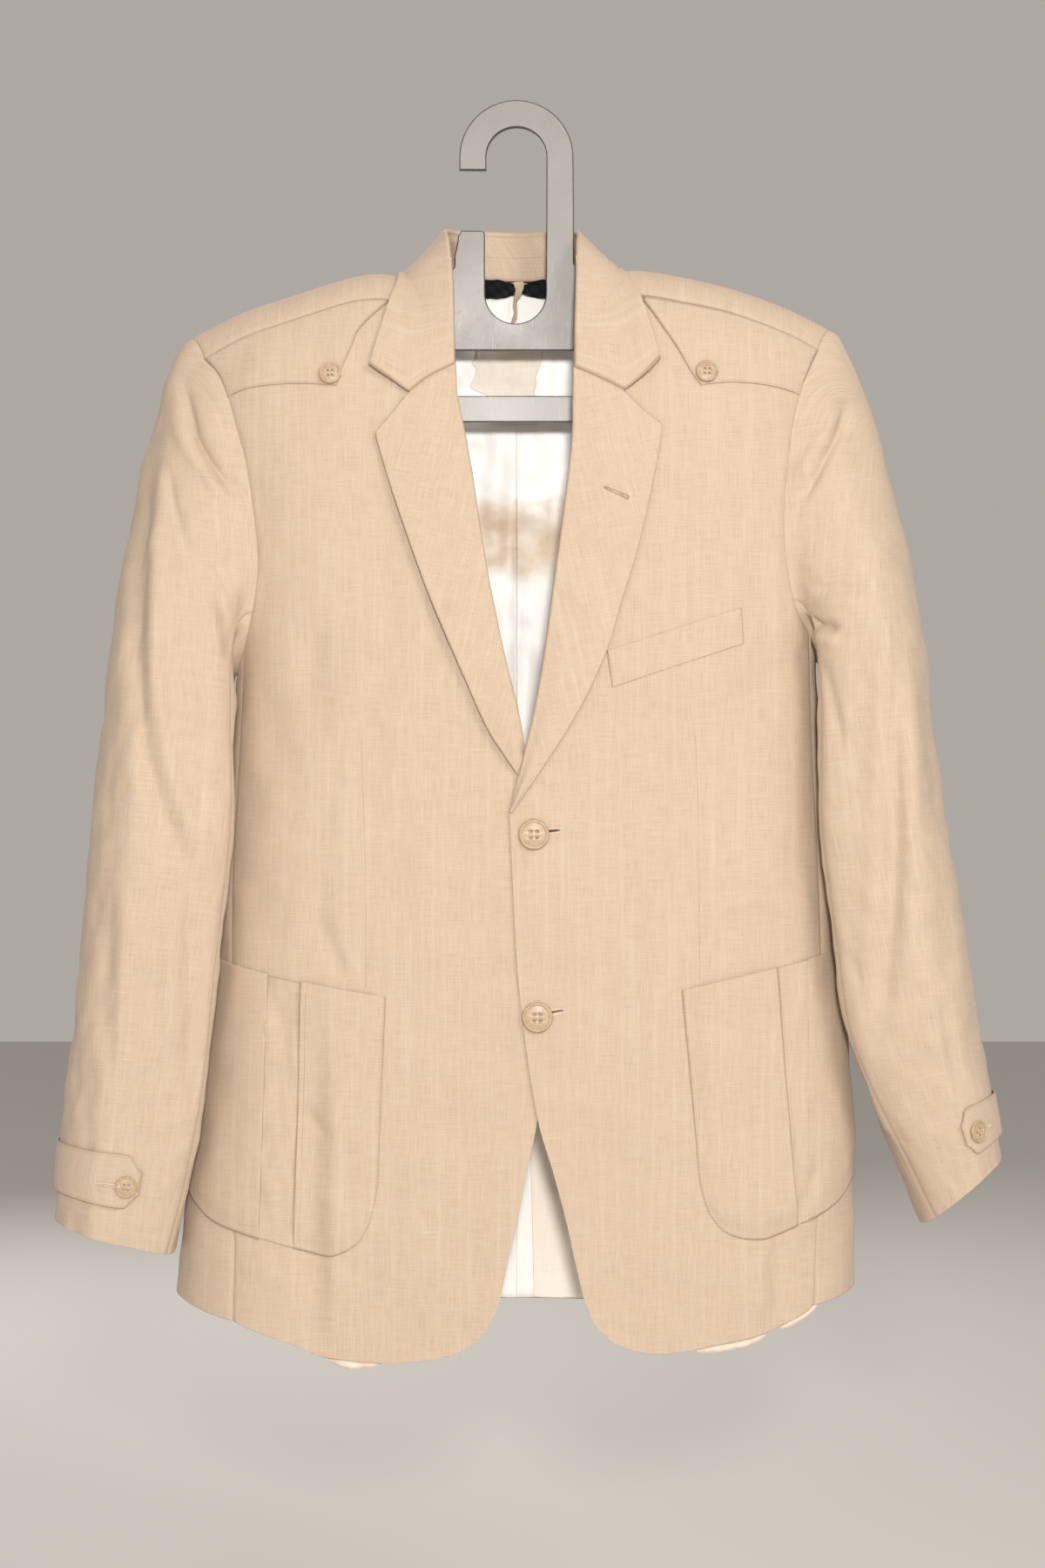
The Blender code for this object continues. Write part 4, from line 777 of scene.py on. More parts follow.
def backs(linen):
    neck_share = 3 / 11
    top = SIDE_STATIONS + BACK_STATIONS
    stations = np.concatenate([[0, 0.01, 0.03], np.arange(1, 121) / 8,
                               15 + (top - 15) * np.sin(np.arange(1, 41) / 40 * math.pi / 2)])
    u = np.array(sorted({*spaced(80, 0.004), neck_share}))
    share = np.clip((u - neck_share) / (1 - neck_share), 0, 1)
    columns = np.where(u >= neck_share - 1e-9)[0]
    t = np.append(np.sin(np.linspace(0, 1, 16)[:-1] * math.pi / 2), (0.999, 1))
    for side in (RIGHT, LEFT):
        middle, turn_x = side * 0.2, side * NECK_TURN_X
        neck = along([(x, NECKLINE.at(x, "z")) for x in (middle, side * 18, side * 35)]
                     + [(turn_x, RIDGE.at(turn_x, "z"))], np.clip(u / neck_share, 0, 1))
        high = np.where((u < neck_share)[:, None], neck,
                        np.stack(strip_places(side, 0.0, share), -1))
        low = along(((middle, -868), (side * 110, -868), BACK_SIDE_SEAM[side][0]), u)
        arm = along(BACK_ARMHOLE[side], back_arm_share(np.clip(stations - SIDE_STATIONS, 0, 99)))
        outer = np.where((stations > SIDE_STATIONS)[:, None], arm,
                         along(BACK_SIDE_SEAM[side], np.clip(stations / SIDE_STATIONS, 0, 1)))
        outer[-1] = high[-1]
        climb = (outer[:, 1] - outer[0, 1]) / (outer[-1, 1] - outer[0, 1])
        inner = np.stack([middle + 0 * climb, low[0, 1] + (-110 - low[0, 1]) * climb], -1)
        flat = between(low, high, inner, outer, u, stations / top)
        x, z = flat[..., 0], flat[..., 1]
        grid = on_form(x, z, BACK)
        sewn = smoothstep((RIDGE.at(x, "z") - z - 1) / 6)
        grid = raised(grid, normals_of(grid, TO_BACK), back_relief(x, z) * seam_fade(grid, "outer")
                      + seam_dip(grid, "inner") * sewn + side_dip(grid, stations))
        grid = sewn_to_sleeve(grid, side, stations,
                              RING - UNDER_STATIONS - (stations - SIDE_STATIONS))
        x, z = strip_places(side, t[:, None], share[columns][None])
        strip = on_form(x, z)
        rise = seam_dip(strip, "high") + 0.5 * t[:, None] * seam_fade(strip, "high outer", 3)
        strip[1:] = raised(strip[1:], normals_of(strip[1:], TO_FRONT), rise[1:])
        strip = pulled(strip, "outer", armhole_seam(side, ARM_STATIONS + STRIP_STATIONS * (1 - t)))
        strip[0] = grid[-1, columns]
        cloth(f"back_{SIDE_NAME[side]}", [grid, strip], linen, TO_BACK,
              [flat, np.stack([x, 2 * RIDGE.at(x, "z") - z], -1)],
              shades=[seam_line(grid, "inner outer", 0.8), seam_line(strip, "high outer")])


# ---------------------------------------------------------------- sleeves

def armhole(side, stations):
    """Places round the armhole at stations from the side seam over the shoulder and back."""
    s = np.asarray(stations, float) % RING
    front = along(FRONT_ARMHOLE[side], np.clip(s / ARM_STATIONS, 0, 1))
    places = on_form(front[:, 0], front[:, 1], FRONT)
    over = s > ARM_STATIONS
    x, z = strip_places(side, (ARM_STATIONS + STRIP_STATIONS - s) / STRIP_STATIONS, 1.0)
    places[over] = on_form(x, z, FRONT)[over]
    start = ARM_STATIONS + STRIP_STATIONS
    behind = s > start
    share = back_arm_share(np.clip(BACK_STATIONS - (s - start), 0, BACK_STATIONS))
    back = along(BACK_ARMHOLE[side], share)
    places[behind] = on_form(back[:, 0], back[:, 1], BACK)[behind]
    start += BACK_STATIONS
    under = s > start
    turned = underarm(side, np.clip(1 - (s - start) / UNDER_STATIONS, 0, 1))
    places[under] = on_side(side, turned[:, 0], turned[:, 1])[under]
    return places


def armhole_seam(side, stations):
    """Places of the armhole's seam, a little way inside the cloth."""
    places = armhole(side, stations)
    high = smoothstep((places[:, 2] + 215) / 50)
    inward = np.stack([side * 150 - places[:, 0], -places[:, 1], -60 * high], -1)
    return places + inward / np.linalg.norm(inward, axis=1)[:, None] * ARMHOLE_INSET


def ring_angle(stations):
    """Angle round the sleeve of a station of the armhole, in degrees."""
    turn = np.asarray(stations, float)
    whole = np.floor(turn / RING)
    s = turn - whole * RING
    back = 180 + 155 * (1 - back_arm_share(np.clip(
        BACK_STATIONS - (s - ARM_STATIONS - STRIP_STATIONS), 0, BACK_STATIONS)))
    start = ARM_STATIONS + STRIP_STATIONS + BACK_STATIONS
    angle = np.where(s <= ARM_STATIONS, 25 + 135 * s / ARM_STATIONS,
                     160 + 20 * (s - ARM_STATIONS) / STRIP_STATIONS)
    angle = np.where(s > ARM_STATIONS + STRIP_STATIONS, back, angle)
    angle = np.where(s > start, 335 + 50 * (s - start) / UNDER_STATIONS, angle)
    return angle + 360 * whole


def sleeve_place(side, angle, z, lift=0.0):
    """A place on the sleeve below the armhole; 0 is the inner side, 90 the front, 180 outside."""
    angle, z = np.broadcast_arrays(np.asarray(angle, float), np.asarray(z, float))
    table = SLEEVE[side]
    outer, inner = table.at(z, "outer") + lift, table.at(z, "inner") - lift
    front, back = table.at(z, "front") - lift, table.at(z, "back") + lift
    c, s = np.cos(np.radians(angle)), np.sin(np.radians(angle))
    x = -np.sign(c) * np.abs(c) ** SLEEVE_SQUARE * (outer - inner) / 2
    x = x - np.where((c > 0) & (s > 0), table.at(z, "over") * np.sin(2 * np.radians(angle)) ** 2, 0)
    y = -np.sign(s) * np.abs(s) ** SLEEVE_SQUARE * (back - front) / 2
    y = y - CREASE_HEIGHT * np.exp(-(np.abs(angle % 360 - CREASE_ANGLE) / 14) ** 2)
    rise = table.at(z, "rise") * x - table.at(z, "fall") * y
    return np.stack([side * ((outer + inner) / 2 + x), (front + back) / 2 + y, z + rise], -1)


def sleeve_grid(side, stations, cap, tube):
    """Rings of the sleeve at stations: cap rows from the armhole, then tube rows to the cuff."""
    bottom, top = SLEEVE[side].rows[[0, -1], 0]
    angle = ring_angle(stations)
    start = armhole_seam(side, stations)
    end = sleeve_place(side, angle, np.full(len(angle), top))
    span = np.linalg.norm(end - start, axis=1)[:, None]
    leave = np.concatenate([side * np.minimum(CAP_OUT, span), 0 * span, 0 * span - 4], 1)
    turn = np.concatenate([side * 4 + 0 * span, 0 * span, -span * CAP_DOWN], 1)
    head = eased((cap ** 1.4)[:, None, None], start, end, leave, turn)
    rest = sleeve_place(side, angle[None], (top + (bottom - top) * tube)[:, None])
    return np.concatenate([head, rest]), angle


def faces_front(angle):
    """Share of a place on the sleeve that is seen from the front."""
    return smoothstep((np.sin(np.radians(angle)) + 0.12) / 0.5)


def sleeve_relief(side, grid, angle):
    front = faces_front(angle)[None]
    x, z = grid[..., 0], grid[..., 2]
    height = crease_height(x, z, SLEEVE_CREASES[side]) * front
    height = height + crease_height(x, z, SLEEVE_BACK_CREASES[side]) * (1 - front)
    return height + crumple(angle[None] * 1.2 + 0 * z, z, 31 + side, 0.26)


def sleeve_middle(side, z):
    """X and y of the sleeve's middle line."""
    outer, inner, front, back = (SLEEVE[side].at(z, key)
                                 for key in ("outer", "inner", "front", "back"))
    return side * (outer + inner) / 2, (front + back) / 2


def sleeves(linen):
    cap = np.concatenate([[0, 0.008, 0.016, 0.028], np.arange(4, 104) / 104])
    tube = np.concatenate([np.arange(130) / 130, [0.996, 0.9985, 1]])
    for side in (RIGHT, LEFT):
        for label, first, last, count in (("top", TOP_SEAM, BACK_SEAM, 112),
                                          ("under", BACK_SEAM, RING + TOP_SEAM, 40)):
            stations = first + (last - first) * spaced(count, 0.0025)
            grid, angle = sleeve_grid(side, stations, cap, tube)
            outward = sleeve_facing(side, grid)
            grid = raised(grid, normals_of(grid, outward),
                          sleeve_relief(side, grid, angle) * seam_fade(grid, "inner outer low", 8)
                          + seam_dip(grid, "inner outer") * seam_fade(grid, "low", 4)
                          + 0.25 * smoothstep(lengths(grid, 0) / 6))
            x, y, z = np.moveaxis(grid, -1, 0)
            middle, deep = sleeve_middle(side, np.clip(z, -1000, -430))
            turn = np.unwrap(np.arctan2(x - middle, y - deep), axis=1)
            turn = turn - 2 * math.pi * np.round(turn[:, :1] / (2 * math.pi))
            cloth(f"{label}_sleeve_{SIDE_NAME[side]}", [grid], linen, outward,
                  [np.stack([turn * 54, z - 0.12 * side * x], -1)], PANEL_WALL,
                  shades=[np.maximum(seam_line(grid, "inner outer", 0.3),
                                     seam_line(grid, "low", 0.7))])


def sleeve_facing(side, grid):
    """Outward direction at the middle place of a piece of sleeve."""
    x, y, z = grid[grid.shape[0] // 2, grid.shape[1] // 2]
    middle, deep = sleeve_middle(side, z)
    return (x - middle, y - deep, 0)


def cuff_tabs(linen):
    for side in (RIGHT, LEFT):
        high, low, tip = TAB_TABLE[side]
        angle = tip + (float(ring_angle(BACK_SEAM)) - 1 - tip) * spaced(56, 0.008)
        share = spaced(14, 0.02) * 2 - 1
        reach = smoothstep((angle - tip) / 9)
        height = (high + low) / 2 + share[:, None] * (high - low) / 2 * (0.42 + 0.58 * reach)
        grid = sleeve_place(side, angle[None] + 0 * height, height, 2.4)
        outward = sleeve_facing(side, grid)
        normal = normals_of(grid, outward)
        grid = raised(grid, normal, crease_height(grid[..., 0], grid[..., 2], SLEEVE_CREASES[side])
                      * faces_front(angle)[None] + 0.3)
        name = f"cuff_tab_{SIDE_NAME[side]}"
        cloth(name, [grid], linen, outward, [own_lengths(grid)],
              shades=[seam_line(grid, "inner low high", 0.6, 0.5)])
        stitch_edges(name, grid, normal, "inner low high")


# ---------------------------------------------------------------- pieces on the fronts

STITCHES = []
STITCH_INSET = 1.6    # from the sewn edge


def stitch_edges(name, grid, normal, edges, inset=STITCH_INSET, thick=0.7):
    """Notes a row of stitches along the edges of a grid, a little way in."""
    for edge in edges.split():
        rows = grid, normal, edges_away(grid)[edge]
        if edge in ("low", "high"):
            rows = (part.swapaxes(0, 1) for part in rows)
        line = [at_distance(*row, inset) for row in zip(*rows)]
        places, outward = (np.array(part) for part in zip(*line))
        away = run_lengths(places)
        keep = (away > inset) & (away < away[-1] - inset)
        if keep.sum() > 2:
            STITCHES.append((name, places[keep] + outward[keep] * thick, outward[keep]))


def at_distance(places, normals, away, inset):
    order = np.argsort(away)
    place, normal = (read_line(inset, away[order], part[order]) for part in (places, normals))
    return place, normal / np.linalg.norm(normal)


LONG_STITCH, PLAIN_STITCH = (2.4, 2.9, 0.2), (2.3, 1.3, 0.23)    # pitch, length, radius
STITCH_SIZE = {"dart": LONG_STITCH, "pleat": LONG_STITCH}


def laid_on(*axes):
    """The turn that lays x, y and z on three axes."""
    return Matrix(axes).transposed().to_4x4()


def bead(bm, place, turn, size, seat=Matrix(), segments=(6, 4)):
    """A small rounded bar; its place and half sizes are in millimetres, from the seat."""
    size = Matrix.Diagonal((*(Vector(size) * MM), 1))
    bmesh.ops.create_uvsphere(bm, u_segments=segments[0], v_segments=segments[1], radius=1,
                              matrix=seat @ Matrix.Translation(Vector(place) * MM) @ turn @ size)


def stitches(thread):
    """All rows of stitches as small rounded bars, lying on the cloth."""
    whole = bmesh.new()
    for name, places, outward in STITCHES:
        pitch, length, radius = STITCH_SIZE.get(name, PLAIN_STITCH)
        bm = bmesh.new()
        away = run_lengths(places)
        for start in np.arange(pitch / 2, away[-1] - pitch / 2, pitch):
            a, b = (read_line(start + half, away, places) for half in (-length / 2, length / 2))
            axis = Vector(b - a).normalized()
            side = axis.cross(Vector(read_line(start, away, outward))).normalized()
            bead(bm, (a + b) / 2, laid_on(axis, side, side.cross(axis)),
                 (length / 2, radius, radius * 0.8))
        merge(whole, bm)
    finish_piece(whole, "stitches", thread)


def panel_piece(name, side, flat, linen, lift, edges, wall=1.1, seams="", folds=""):
    """A piece sewn on a front, given by its places x, z."""
    grid, normal = front_grid(side, flat, lift)
    if seams:
        grid = raised(grid, normal, seam_dip(grid, seams, 1.0, 1.4))
    # painted shade along its stitched, sewn and folded edges
    cloth(name, [grid], linen, TO_FRONT, wall=wall,
          shades=[seam_line(grid, f"{edges} {seams} {folds}", 0.75, 0.55)])
    stitch_edges(name, grid, normal, edges, thick=wall / 2)
    return grid, normal


def sewn_lift(flat, sewn, full, low=1.15, width=16.0):
    """Lift of a piece whose sewn edges lie flat on the cloth below."""
    return low + (full - low) * seam_fade(flat, sewn, width)


POCKET_EDGE = {   # inner edge down to the corner, then the lower edge out to the side
    RIGHT: (((-93, -633), (-97, -728), (-99, -769), (-104, -793)),
            ((-104, -793), (-112, -807), (-124, -815), (-137, -817.5), (-158, -812.5),
             (-202, -801), (-219, -795), (-229, -787), (-236, -779), (-242, -770))),
    LEFT: (((118, -628), (126.5, -717), (131, -765), (137.5, -787)),
           ((137.5, -787), (147.5, -799), (160, -804.5), (175, -806), (187, -803), (202, -797),
            (219, -790), (231, -783), (240, -774), (247, -764))),
}
POCKET_TOP_EDGE = {
    RIGHT: ((-93, -633), (-150, -622.5), (-200, -613), (-245, -607)),
    LEFT: ((118, -628), (165, -617), (200, -609), (245, -600)),
}


def side_limit(side, z):
    """Where the pocket ends on the side of the body."""
    deep = full_depth(side * 100.0, z, FRONT)
    return half_width(side, z) - ROUND + ROUND * np.sqrt(1 - (POCKET_BACK_Y / deep) ** 2)


def pocket(side, linen):
    """A patch pocket with a pleat: two leaves and the underlay between their folds."""
    name = SIDE_NAME[side]
    (edge, low_edge), top_edge = POCKET_EDGE[side], POCKET_TOP_EDGE[side]

    def z_at(line, x):
        fine, _ = smooth_line(line)
        order = np.argsort(fine[:, 0])
        return np.interp(x, fine[order, 0], fine[order, 1])

    def meet(line, fold):
        """Where a fold, which runs straight from its top to its low end, meets an edge."""
        top, low = fold
        x = top
        for _ in range(6):
            x = top + (low - top) * (z_at(line, x) - POCKET_TOP) / (POCKET_BOTTOM - POCKET_TOP)
        return x, z_at(line, x)

    v = spaced(84, 0.003)
    fine, _ = smooth_line(low_edge)
    in_fold, out_fold = PLEAT[side]
    # front leaf: from the stitched inner edge to its fold
    top_end, low_end = meet(top_edge, in_fold), meet(low_edge, in_fold)
    u = spaced(34, 0.008)
    inner = along(edge, v)[::-1]
    low = along(np.vstack([fine[np.abs(fine[:, 0]) < abs(low_end[0])], [low_end]]), u)
    high_x = np.linspace(edge[0][0], top_end[0], len(u))
    high = np.stack([high_x, z_at(top_edge, high_x)], -1)
    high[0], inner[0] = inner[-1], low[0]
    flat = between(low, high, inner, np.linspace(low_end, top_end, len(v)), u, v)
    wave = 0.5 * np.sin(np.linspace(0, 9, len(v)))[:, None] * u ** 3
    grid, normal = panel_piece(f"pocket_front_leaf_{name}", side, flat, linen,
                               sewn_lift(flat, "inner low", 3.3) + wave, "inner low", folds="outer")
    if side == RIGHT:
        stitch_edges("pleat", grid, normal, "outer", 4.5, 0.55)
    # side leaf: from its fold round to the side
    top_end, low_end = meet(top_edge, out_fold), meet(low_edge, out_fold)
    u = spaced(30, 0.008)
    z_end = np.linspace(POCKET_END_Z[side], z_at(top_edge, side * 240.0), len(v))
    outer = np.stack([side * side_limit(side, z_end), z_end], -1)
    inside = (np.abs(fine[:, 0]) > abs(low_end[0])) & (np.abs(fine[:, 0]) < abs(outer[0, 0]) - 2)
    low = along(np.vstack([[low_end], fine[inside], [outer[0]]]), u)
    flat = between(low, np.linspace(top_end, outer[-1], len(u)),
                   np.linspace(low_end, top_end, len(v)), outer, u, v)
    panel_piece(f"pocket_side_leaf_{name}", side, flat, linen,
                sewn_lift(flat, "outer low", 2.5 if side == RIGHT else 2.25), "low")
    # pleat underlay: it reaches behind both leaves, or ends flush with the side leaf
    u = spaced(14, 0.02)
    corners = []
    for fold, tuck in ((in_fold, -6.0), (out_fold, 6.0 if side == RIGHT else 0.2)):
        for line, rise in ((low_edge, 0.6), (top_edge, -1.2 if side == RIGHT else -0.2)):
            x = meet(line, fold)[0] + side * tuck
            corners.append((x, z_at(line, x) + rise))
    flat = between_corners(corners[0], corners[2], corners[1], corners[3], u, v)
    dent = crumple(flat[..., 0] * 2.5, flat[..., 1], 77 + side, 0.3, 20, 70)
    if side == RIGHT:
        lift = 1.3 + dent - 0.8 * smoothstep(1 - v / 0.14)[:, None]
    else:
        lift = 1.0 + 0.4 * dent + 1.3 * smoothstep((u - 0.5) / 0.5)
    panel_piece(f"pocket_pleat_{name}", side, flat, linen, lift, "", wall=0.9, folds="low high")


PATCH_INNER = {
    RIGHT: ((-128.5, -196.5), (-124.5, -183.6), (-117.6, -166.6), (-112, -153.5), (-92, -133)),
    LEFT: ((132.5, -196.5), (125.4, -186.7), (114.7, -167.3), (101, -147), (91, -132)),
}
PATCH_LOW = {
    RIGHT: ((-128.5, -196.5), (-138, -195.5), (-153, -194.5), (-172, -194.8), (-193, -197),
            (-208, -201.5)),
    LEFT: ((132.5, -196.5), (140, -195), (155, -193.5), (175, -194.5), (190, -197), (203.5, -200)),
}


DARTS = {
    RIGHT: ((-110.5, -449), (-107.5, -543), (-107, -627)),
    LEFT: ((128, -446), (130, -518), (131, -621)),
}


def dart_lines():
    """Rows of stitches that close the darts, sunk in the cloth: their dark thread is partly painted
    shade of the dart seams.
    """
    for side in (RIGHT, LEFT):
        flat = along(DARTS[side], np.linspace(0, 1, 80))
        wide = np.stack([flat + (dx, 0) for dx in (-2, 0, 2)], 1)
        grid, normal = front_grid(side, wide, 0.76)
        STITCHES.append(("dart", grid[:, 1], normal[:, 1]))


def shoulder_patch(side, linen):
    u, v = spaced(46, 0.008), spaced(30, 0.012)
    low = along(PATCH_LOW[side], u)
    inner = along(PATCH_INNER[side], v)
    seam_x = np.linspace(inner[-1, 0], TIP_X[side], len(u))
    high = np.stack([seam_x, RIDGE.at(seam_x, "z") - FRONT_SEAM_DROP - 0.5], -1)
    arm = along(FRONT_ARMHOLE[side], np.linspace(0, 1, 200))
    arm = arm[arm[:, 1] > low[-1, 1]]
    outer = along(np.vstack([low[-1:], arm[1::12], high[-1:]]), v)
    inner[-1], inner[0] = high[0], low[0]
    panel_piece(f"shoulder_patch_{SIDE_NAME[side]}", side, between(low, high, inner, outer, u, v),
                linen, 1.25 + 0.3 * smoothstep(v / 0.6)[:, None], "low inner", seams="outer high")


def breast_welt(linen):
    a, b, c, d = WELT
    u, v = spaced(46, 0.008), spaced(14, 0.03)
    panel_piece("breast_welt", LEFT, between_corners(b, c, a, d, u, v), linen,
                1.1 + 0.45 * smoothstep(v)[:, None], "inner outer")


# ---------------------------------------------------------------- lapels and collar

LAPEL_FACE = {}
LAPEL_GRAIN = -12    # degrees that its weave is turned
LAPEL_STAND = {RIGHT: 3.6, LEFT: 1.5}    # how far the outer edge stands off the front
LAPEL_CREASES = (
    (14, -1.6, 34, -318, 74, -326), (9, 0.9, 30, -342, 66, -350),
    (12, -1.0, -40, -300, -74, -296), (10, 0.8, -26, -350, -52, -352),
    (14, 0.8, 60, -250, 84, -262), (7, -0.7, -14, -420, -34, -404),
)


GORGE = {
    RIGHT: ((-44, -180.7), (-63, -190.4), (-77.2, -201.3)),
    LEFT: ((41.5, -183.7), (59, -191.2), (77.7, -200.3)),
}
GORGE_SHARE = 0.6    # of the lapel's top and of the collar's end


def gorge_seam(side, share):
    """Places of the seam between collar and lapel; nan past its end."""
    flat = along(GORGE[side], np.clip(share / GORGE_SHARE, 0, 1))
    places = on_form(flat[:, 0], flat[:, 1])
    lift = 1.7 + (over_lift(flat[:, 0], flat[:, 1]) if side == LEFT else 0 * share)
    places = places + np.array(TO_FRONT) * lift[:, None]
    places[share > GORGE_SHARE] = np.nan
    return places


def lapels(linen):
    for side in (RIGHT, LEFT):
        u, v = spaced(48, 0.008), spaced(130, 0.002)
        high = chained(u * 5, (GORGE[side], 3), (LAPEL_NOTCH[side], 2))
        low = along((LAPEL_ROLL[side][0], LAPEL_EDGE[side][0]), u)
        flat = between(low, high, along(LAPEL_ROLL[side], v), along(LAPEL_EDGE[side], v), u, v)
        x, z = flat[..., 0], flat[..., 1]
        belly = 2.2 * (np.sin(math.pi * u) ** 1.8)[None] * (1 - 0.6 * v[:, None])
        standing = LAPEL_STAND[side] * smoothstep((u - 0.45) / 0.55)[None] * np.sin(
            math.pi * np.clip(v * 1.06, 0, 1))[:, None]
        own = crease_height(x, z, LAPEL_CREASES) - 0.7 * front_relief(x, z)
        settle = (0.3 * smoothstep((0.3 - u) / 0.3)[None]
                  + 2.5 * smoothstep((0.04 - v) / 0.04)[:, None])
        grid, normal = front_grid(side, flat, 2.9 + belly + standing + own - settle)
        base = front_grid(side, flat)[0][:, 0]
        grid = pulled(grid, "high", gorge_seam(side, u), 1.8)
        # the roll: the cloth turns over from the front's edge
        center = (base + grid[:, 0]) / 2
        radius = np.linalg.norm(grid[:, 0] - base, axis=1)[:, None] / 2
        away = grid[:, 0] - grid[:, 4]
        away /= np.linalg.norm(away, axis=1)[:, None]
        up = (grid[:, 0] - base) / (2 * radius)
        tuck = 1.15 - 0.95 * smoothstep((v[:, None] - 0.9) / 0.1)
        turns = [center + radius * (np.sin(a) * up + tuck * np.cos(a) * away)
                 for a in np.radians((-86, -60, -30, 0, 30, 60))]
        whole = np.concatenate([np.stack(turns, 1), grid], 1)
        grain = math.radians(LAPEL_GRAIN * side)
        c, s = math.cos(grain), math.sin(grain)
        x, z = whole[..., 0], whole[..., 2]
        # painted shade along the top and the outer edge, stronger on the right lapel, which stands
        # further off the front
        edge = (1.0, 0.9) if side == RIGHT else (0.7, 0.5)
        cloth(f"lapel_{SIDE_NAME[side]}", [whole], linen, TO_FRONT,
              [np.stack([x * c - z * s, x * s + z * c], -1)], FACED_WALL,
              shades=[np.maximum(seam_line(whole, "high", 0.6, 0.5),
                                 seam_line(whole, "outer", *edge))])
        LAPEL_FACE[side] = grid, normal


def clear_of_body(place, lift):
    """Moves places of the collar off the body, where they would touch it."""
    x, y, z = place[..., 0], place[..., 1], place[..., 2]
    face = np.where(y < 0, FRONT, BACK)
    lift = lift + np.where(y < 0, 1.6 * smoothstep((np.abs(x) - 80) / 10), 0)
    lift = lift + np.where((y < 0) & (x > 0), over_lift(x, z), 0)
    middle = RIDGE.at(x, "z") - SHOULDER_DROP
    deep = full_depth(x, np.minimum(z, middle + SHOULDER_DROP), face) + lift
    high = SHOULDER_DROP + lift * 1.1
    reach = np.hypot(y / deep, (z - middle) / high)
    moved = np.stack([x, y / reach, middle + (z - middle) / reach], -1)
    below = np.stack([x, face * np.maximum(np.abs(y), deep), z], -1)
    place = np.where((reach < 1)[..., None] & (z >= middle)[..., None], moved, place)
    return np.where((z < middle)[..., None], below, place)


def neck_out(places, distance):
    away = places - np.array([0, 5, 0])
    away[..., 2] = 0
    return places + away / np.linalg.norm(away, axis=-1, keepdims=True) * distance


def collar(linen):
    u = spaced(150, 0.003)
    lift = 2.9
    roll = neck_out(along(COLLAR_ROLL, u), 2.7)
    edge = along(COLLAR_EDGE, u)
    v = spaced(34, 0.012)
    ends = {}
    for side in (RIGHT, LEFT):
        flat = chained(v * 5, (GORGE[side], 3), (COLLAR_POINT[side], 2))
        rise = lift + (4.2 if side == RIGHT else 4.6) * smoothstep((v - 0.5) / 0.5) ** 1.3
        if side == LEFT:
            rise = rise + over_lift(flat[:, 0], flat[:, 1])
        ends[side] = raised(on_form(flat[:, 0], flat[:, 1]), np.array(TO_FRONT), rise)
    grid = roll[None] * (1 - v[:, None, None]) + edge[None] * v[:, None, None]
    for side, weight in ((RIGHT, (1 - u) ** 12), (LEFT, u ** 12)):
        bend = ends[side] - (ends[side][0] * (1 - v[:, None]) + ends[side][-1] * v[:, None])
        grid = grid + bend[:, None] * weight[None, :, None]
    # the fall turns over in a full curve at the sides of the neck
    full = smoothstep((grid[..., 1] + 48) / 34) * (4 * v * (1 - v))[:, None]
    full = full * np.where(grid[..., 0] > 0, 6.5, 4.5) * (1 - 0.4 * smoothstep(
        (grid[..., 1] - 10) / 20))
    grid = neck_out(grid, full[..., None] * 0.75) + full[..., None] * np.array([0, 0, 0.75])
    grid = clear_of_body(grid, lift - 0.9 * smoothstep((v - 0.6) / 0.4)[:, None])
    grid[:, 0], grid[:, -1] = ends[RIGHT], ends[LEFT]
    grid = pulled(grid, "inner", gorge_seam(RIGHT, v), 1.8)
    grid = pulled(grid, "outer", gorge_seam(LEFT, v), 1.8)
    # the roll at the top turns over to the inside
    inside = neck_out(along(COLLAR_ROLL, u), 0.6) - np.array([0, 0, 2.5])
    top = (inside + grid[0]) / 2 + np.array([0, 0, 1.9])
    turned = np.stack([inside, inside * 0.7 + grid[0] * 0.3 + np.array([0, 0, 1.6]), top,
                       inside * 0.25 + grid[0] * 0.75 + np.array([0, 0, 1.3])])
    whole = np.concatenate([turned, grid])
    around = lengths(whole, 1)
    uv = np.stack([around[8:9] + 0 * around, lengths(whole, 0)[:, 75:76] + 0 * around], -1)
    # painted shade along both ends, at the gorge and under the collar's points
    cloth("collar_fall", [whole], linen, TO_BACK, [uv], FACED_WALL,
          shades=[seam_line(whole, "inner outer", 0.8, 0.5)])
    stand_u = np.linspace(6 / 28, 22 / 28, 60)
    line = neck_out(along(COLLAR_ROLL, stand_u), 0.5) - np.array([0, 0, 0.6])
    behind = smoothstep((line[:, 1] + 4) / 24)[:, None]
    front_foot = np.stack([line[:, 0], line[:, 1], RIDGE.at(line[:, 0], "z") + 2.2], -1)
    seam_z = NECKLINE.at(line[:, 0], "z")
    seam = on_form(line[:, 0], seam_z, BACK)
    back_foot = np.stack([line[:, 0], seam[:, 1], seam_z + 2.0], -1)
    foot = front_foot * (1 - behind) + back_foot * behind
    share = np.linspace(0, 1, 12)[:, None, None]
    stand = foot[None] * (1 - share) + line[None] * share
    stand_normal = normals_of(stand, TO_FRONT)
    stand = raised(stand, stand_normal, 0.35 * np.sin(share[..., 0] * math.pi) - 0.2)
    uv = np.stack([lengths(stand, 1), stand[..., 2]], -1)
    cloth("collar_stand", [stand], linen, TO_FRONT, [uv], wall=0.9)
    stitch_edges("collar_stand", stand, stand_normal, "high", 18.0, 0.5)


# ---------------------------------------------------------------- lining and trim

LINING_INSET, FRONT_LINING_INSET = 3.2, 2.35


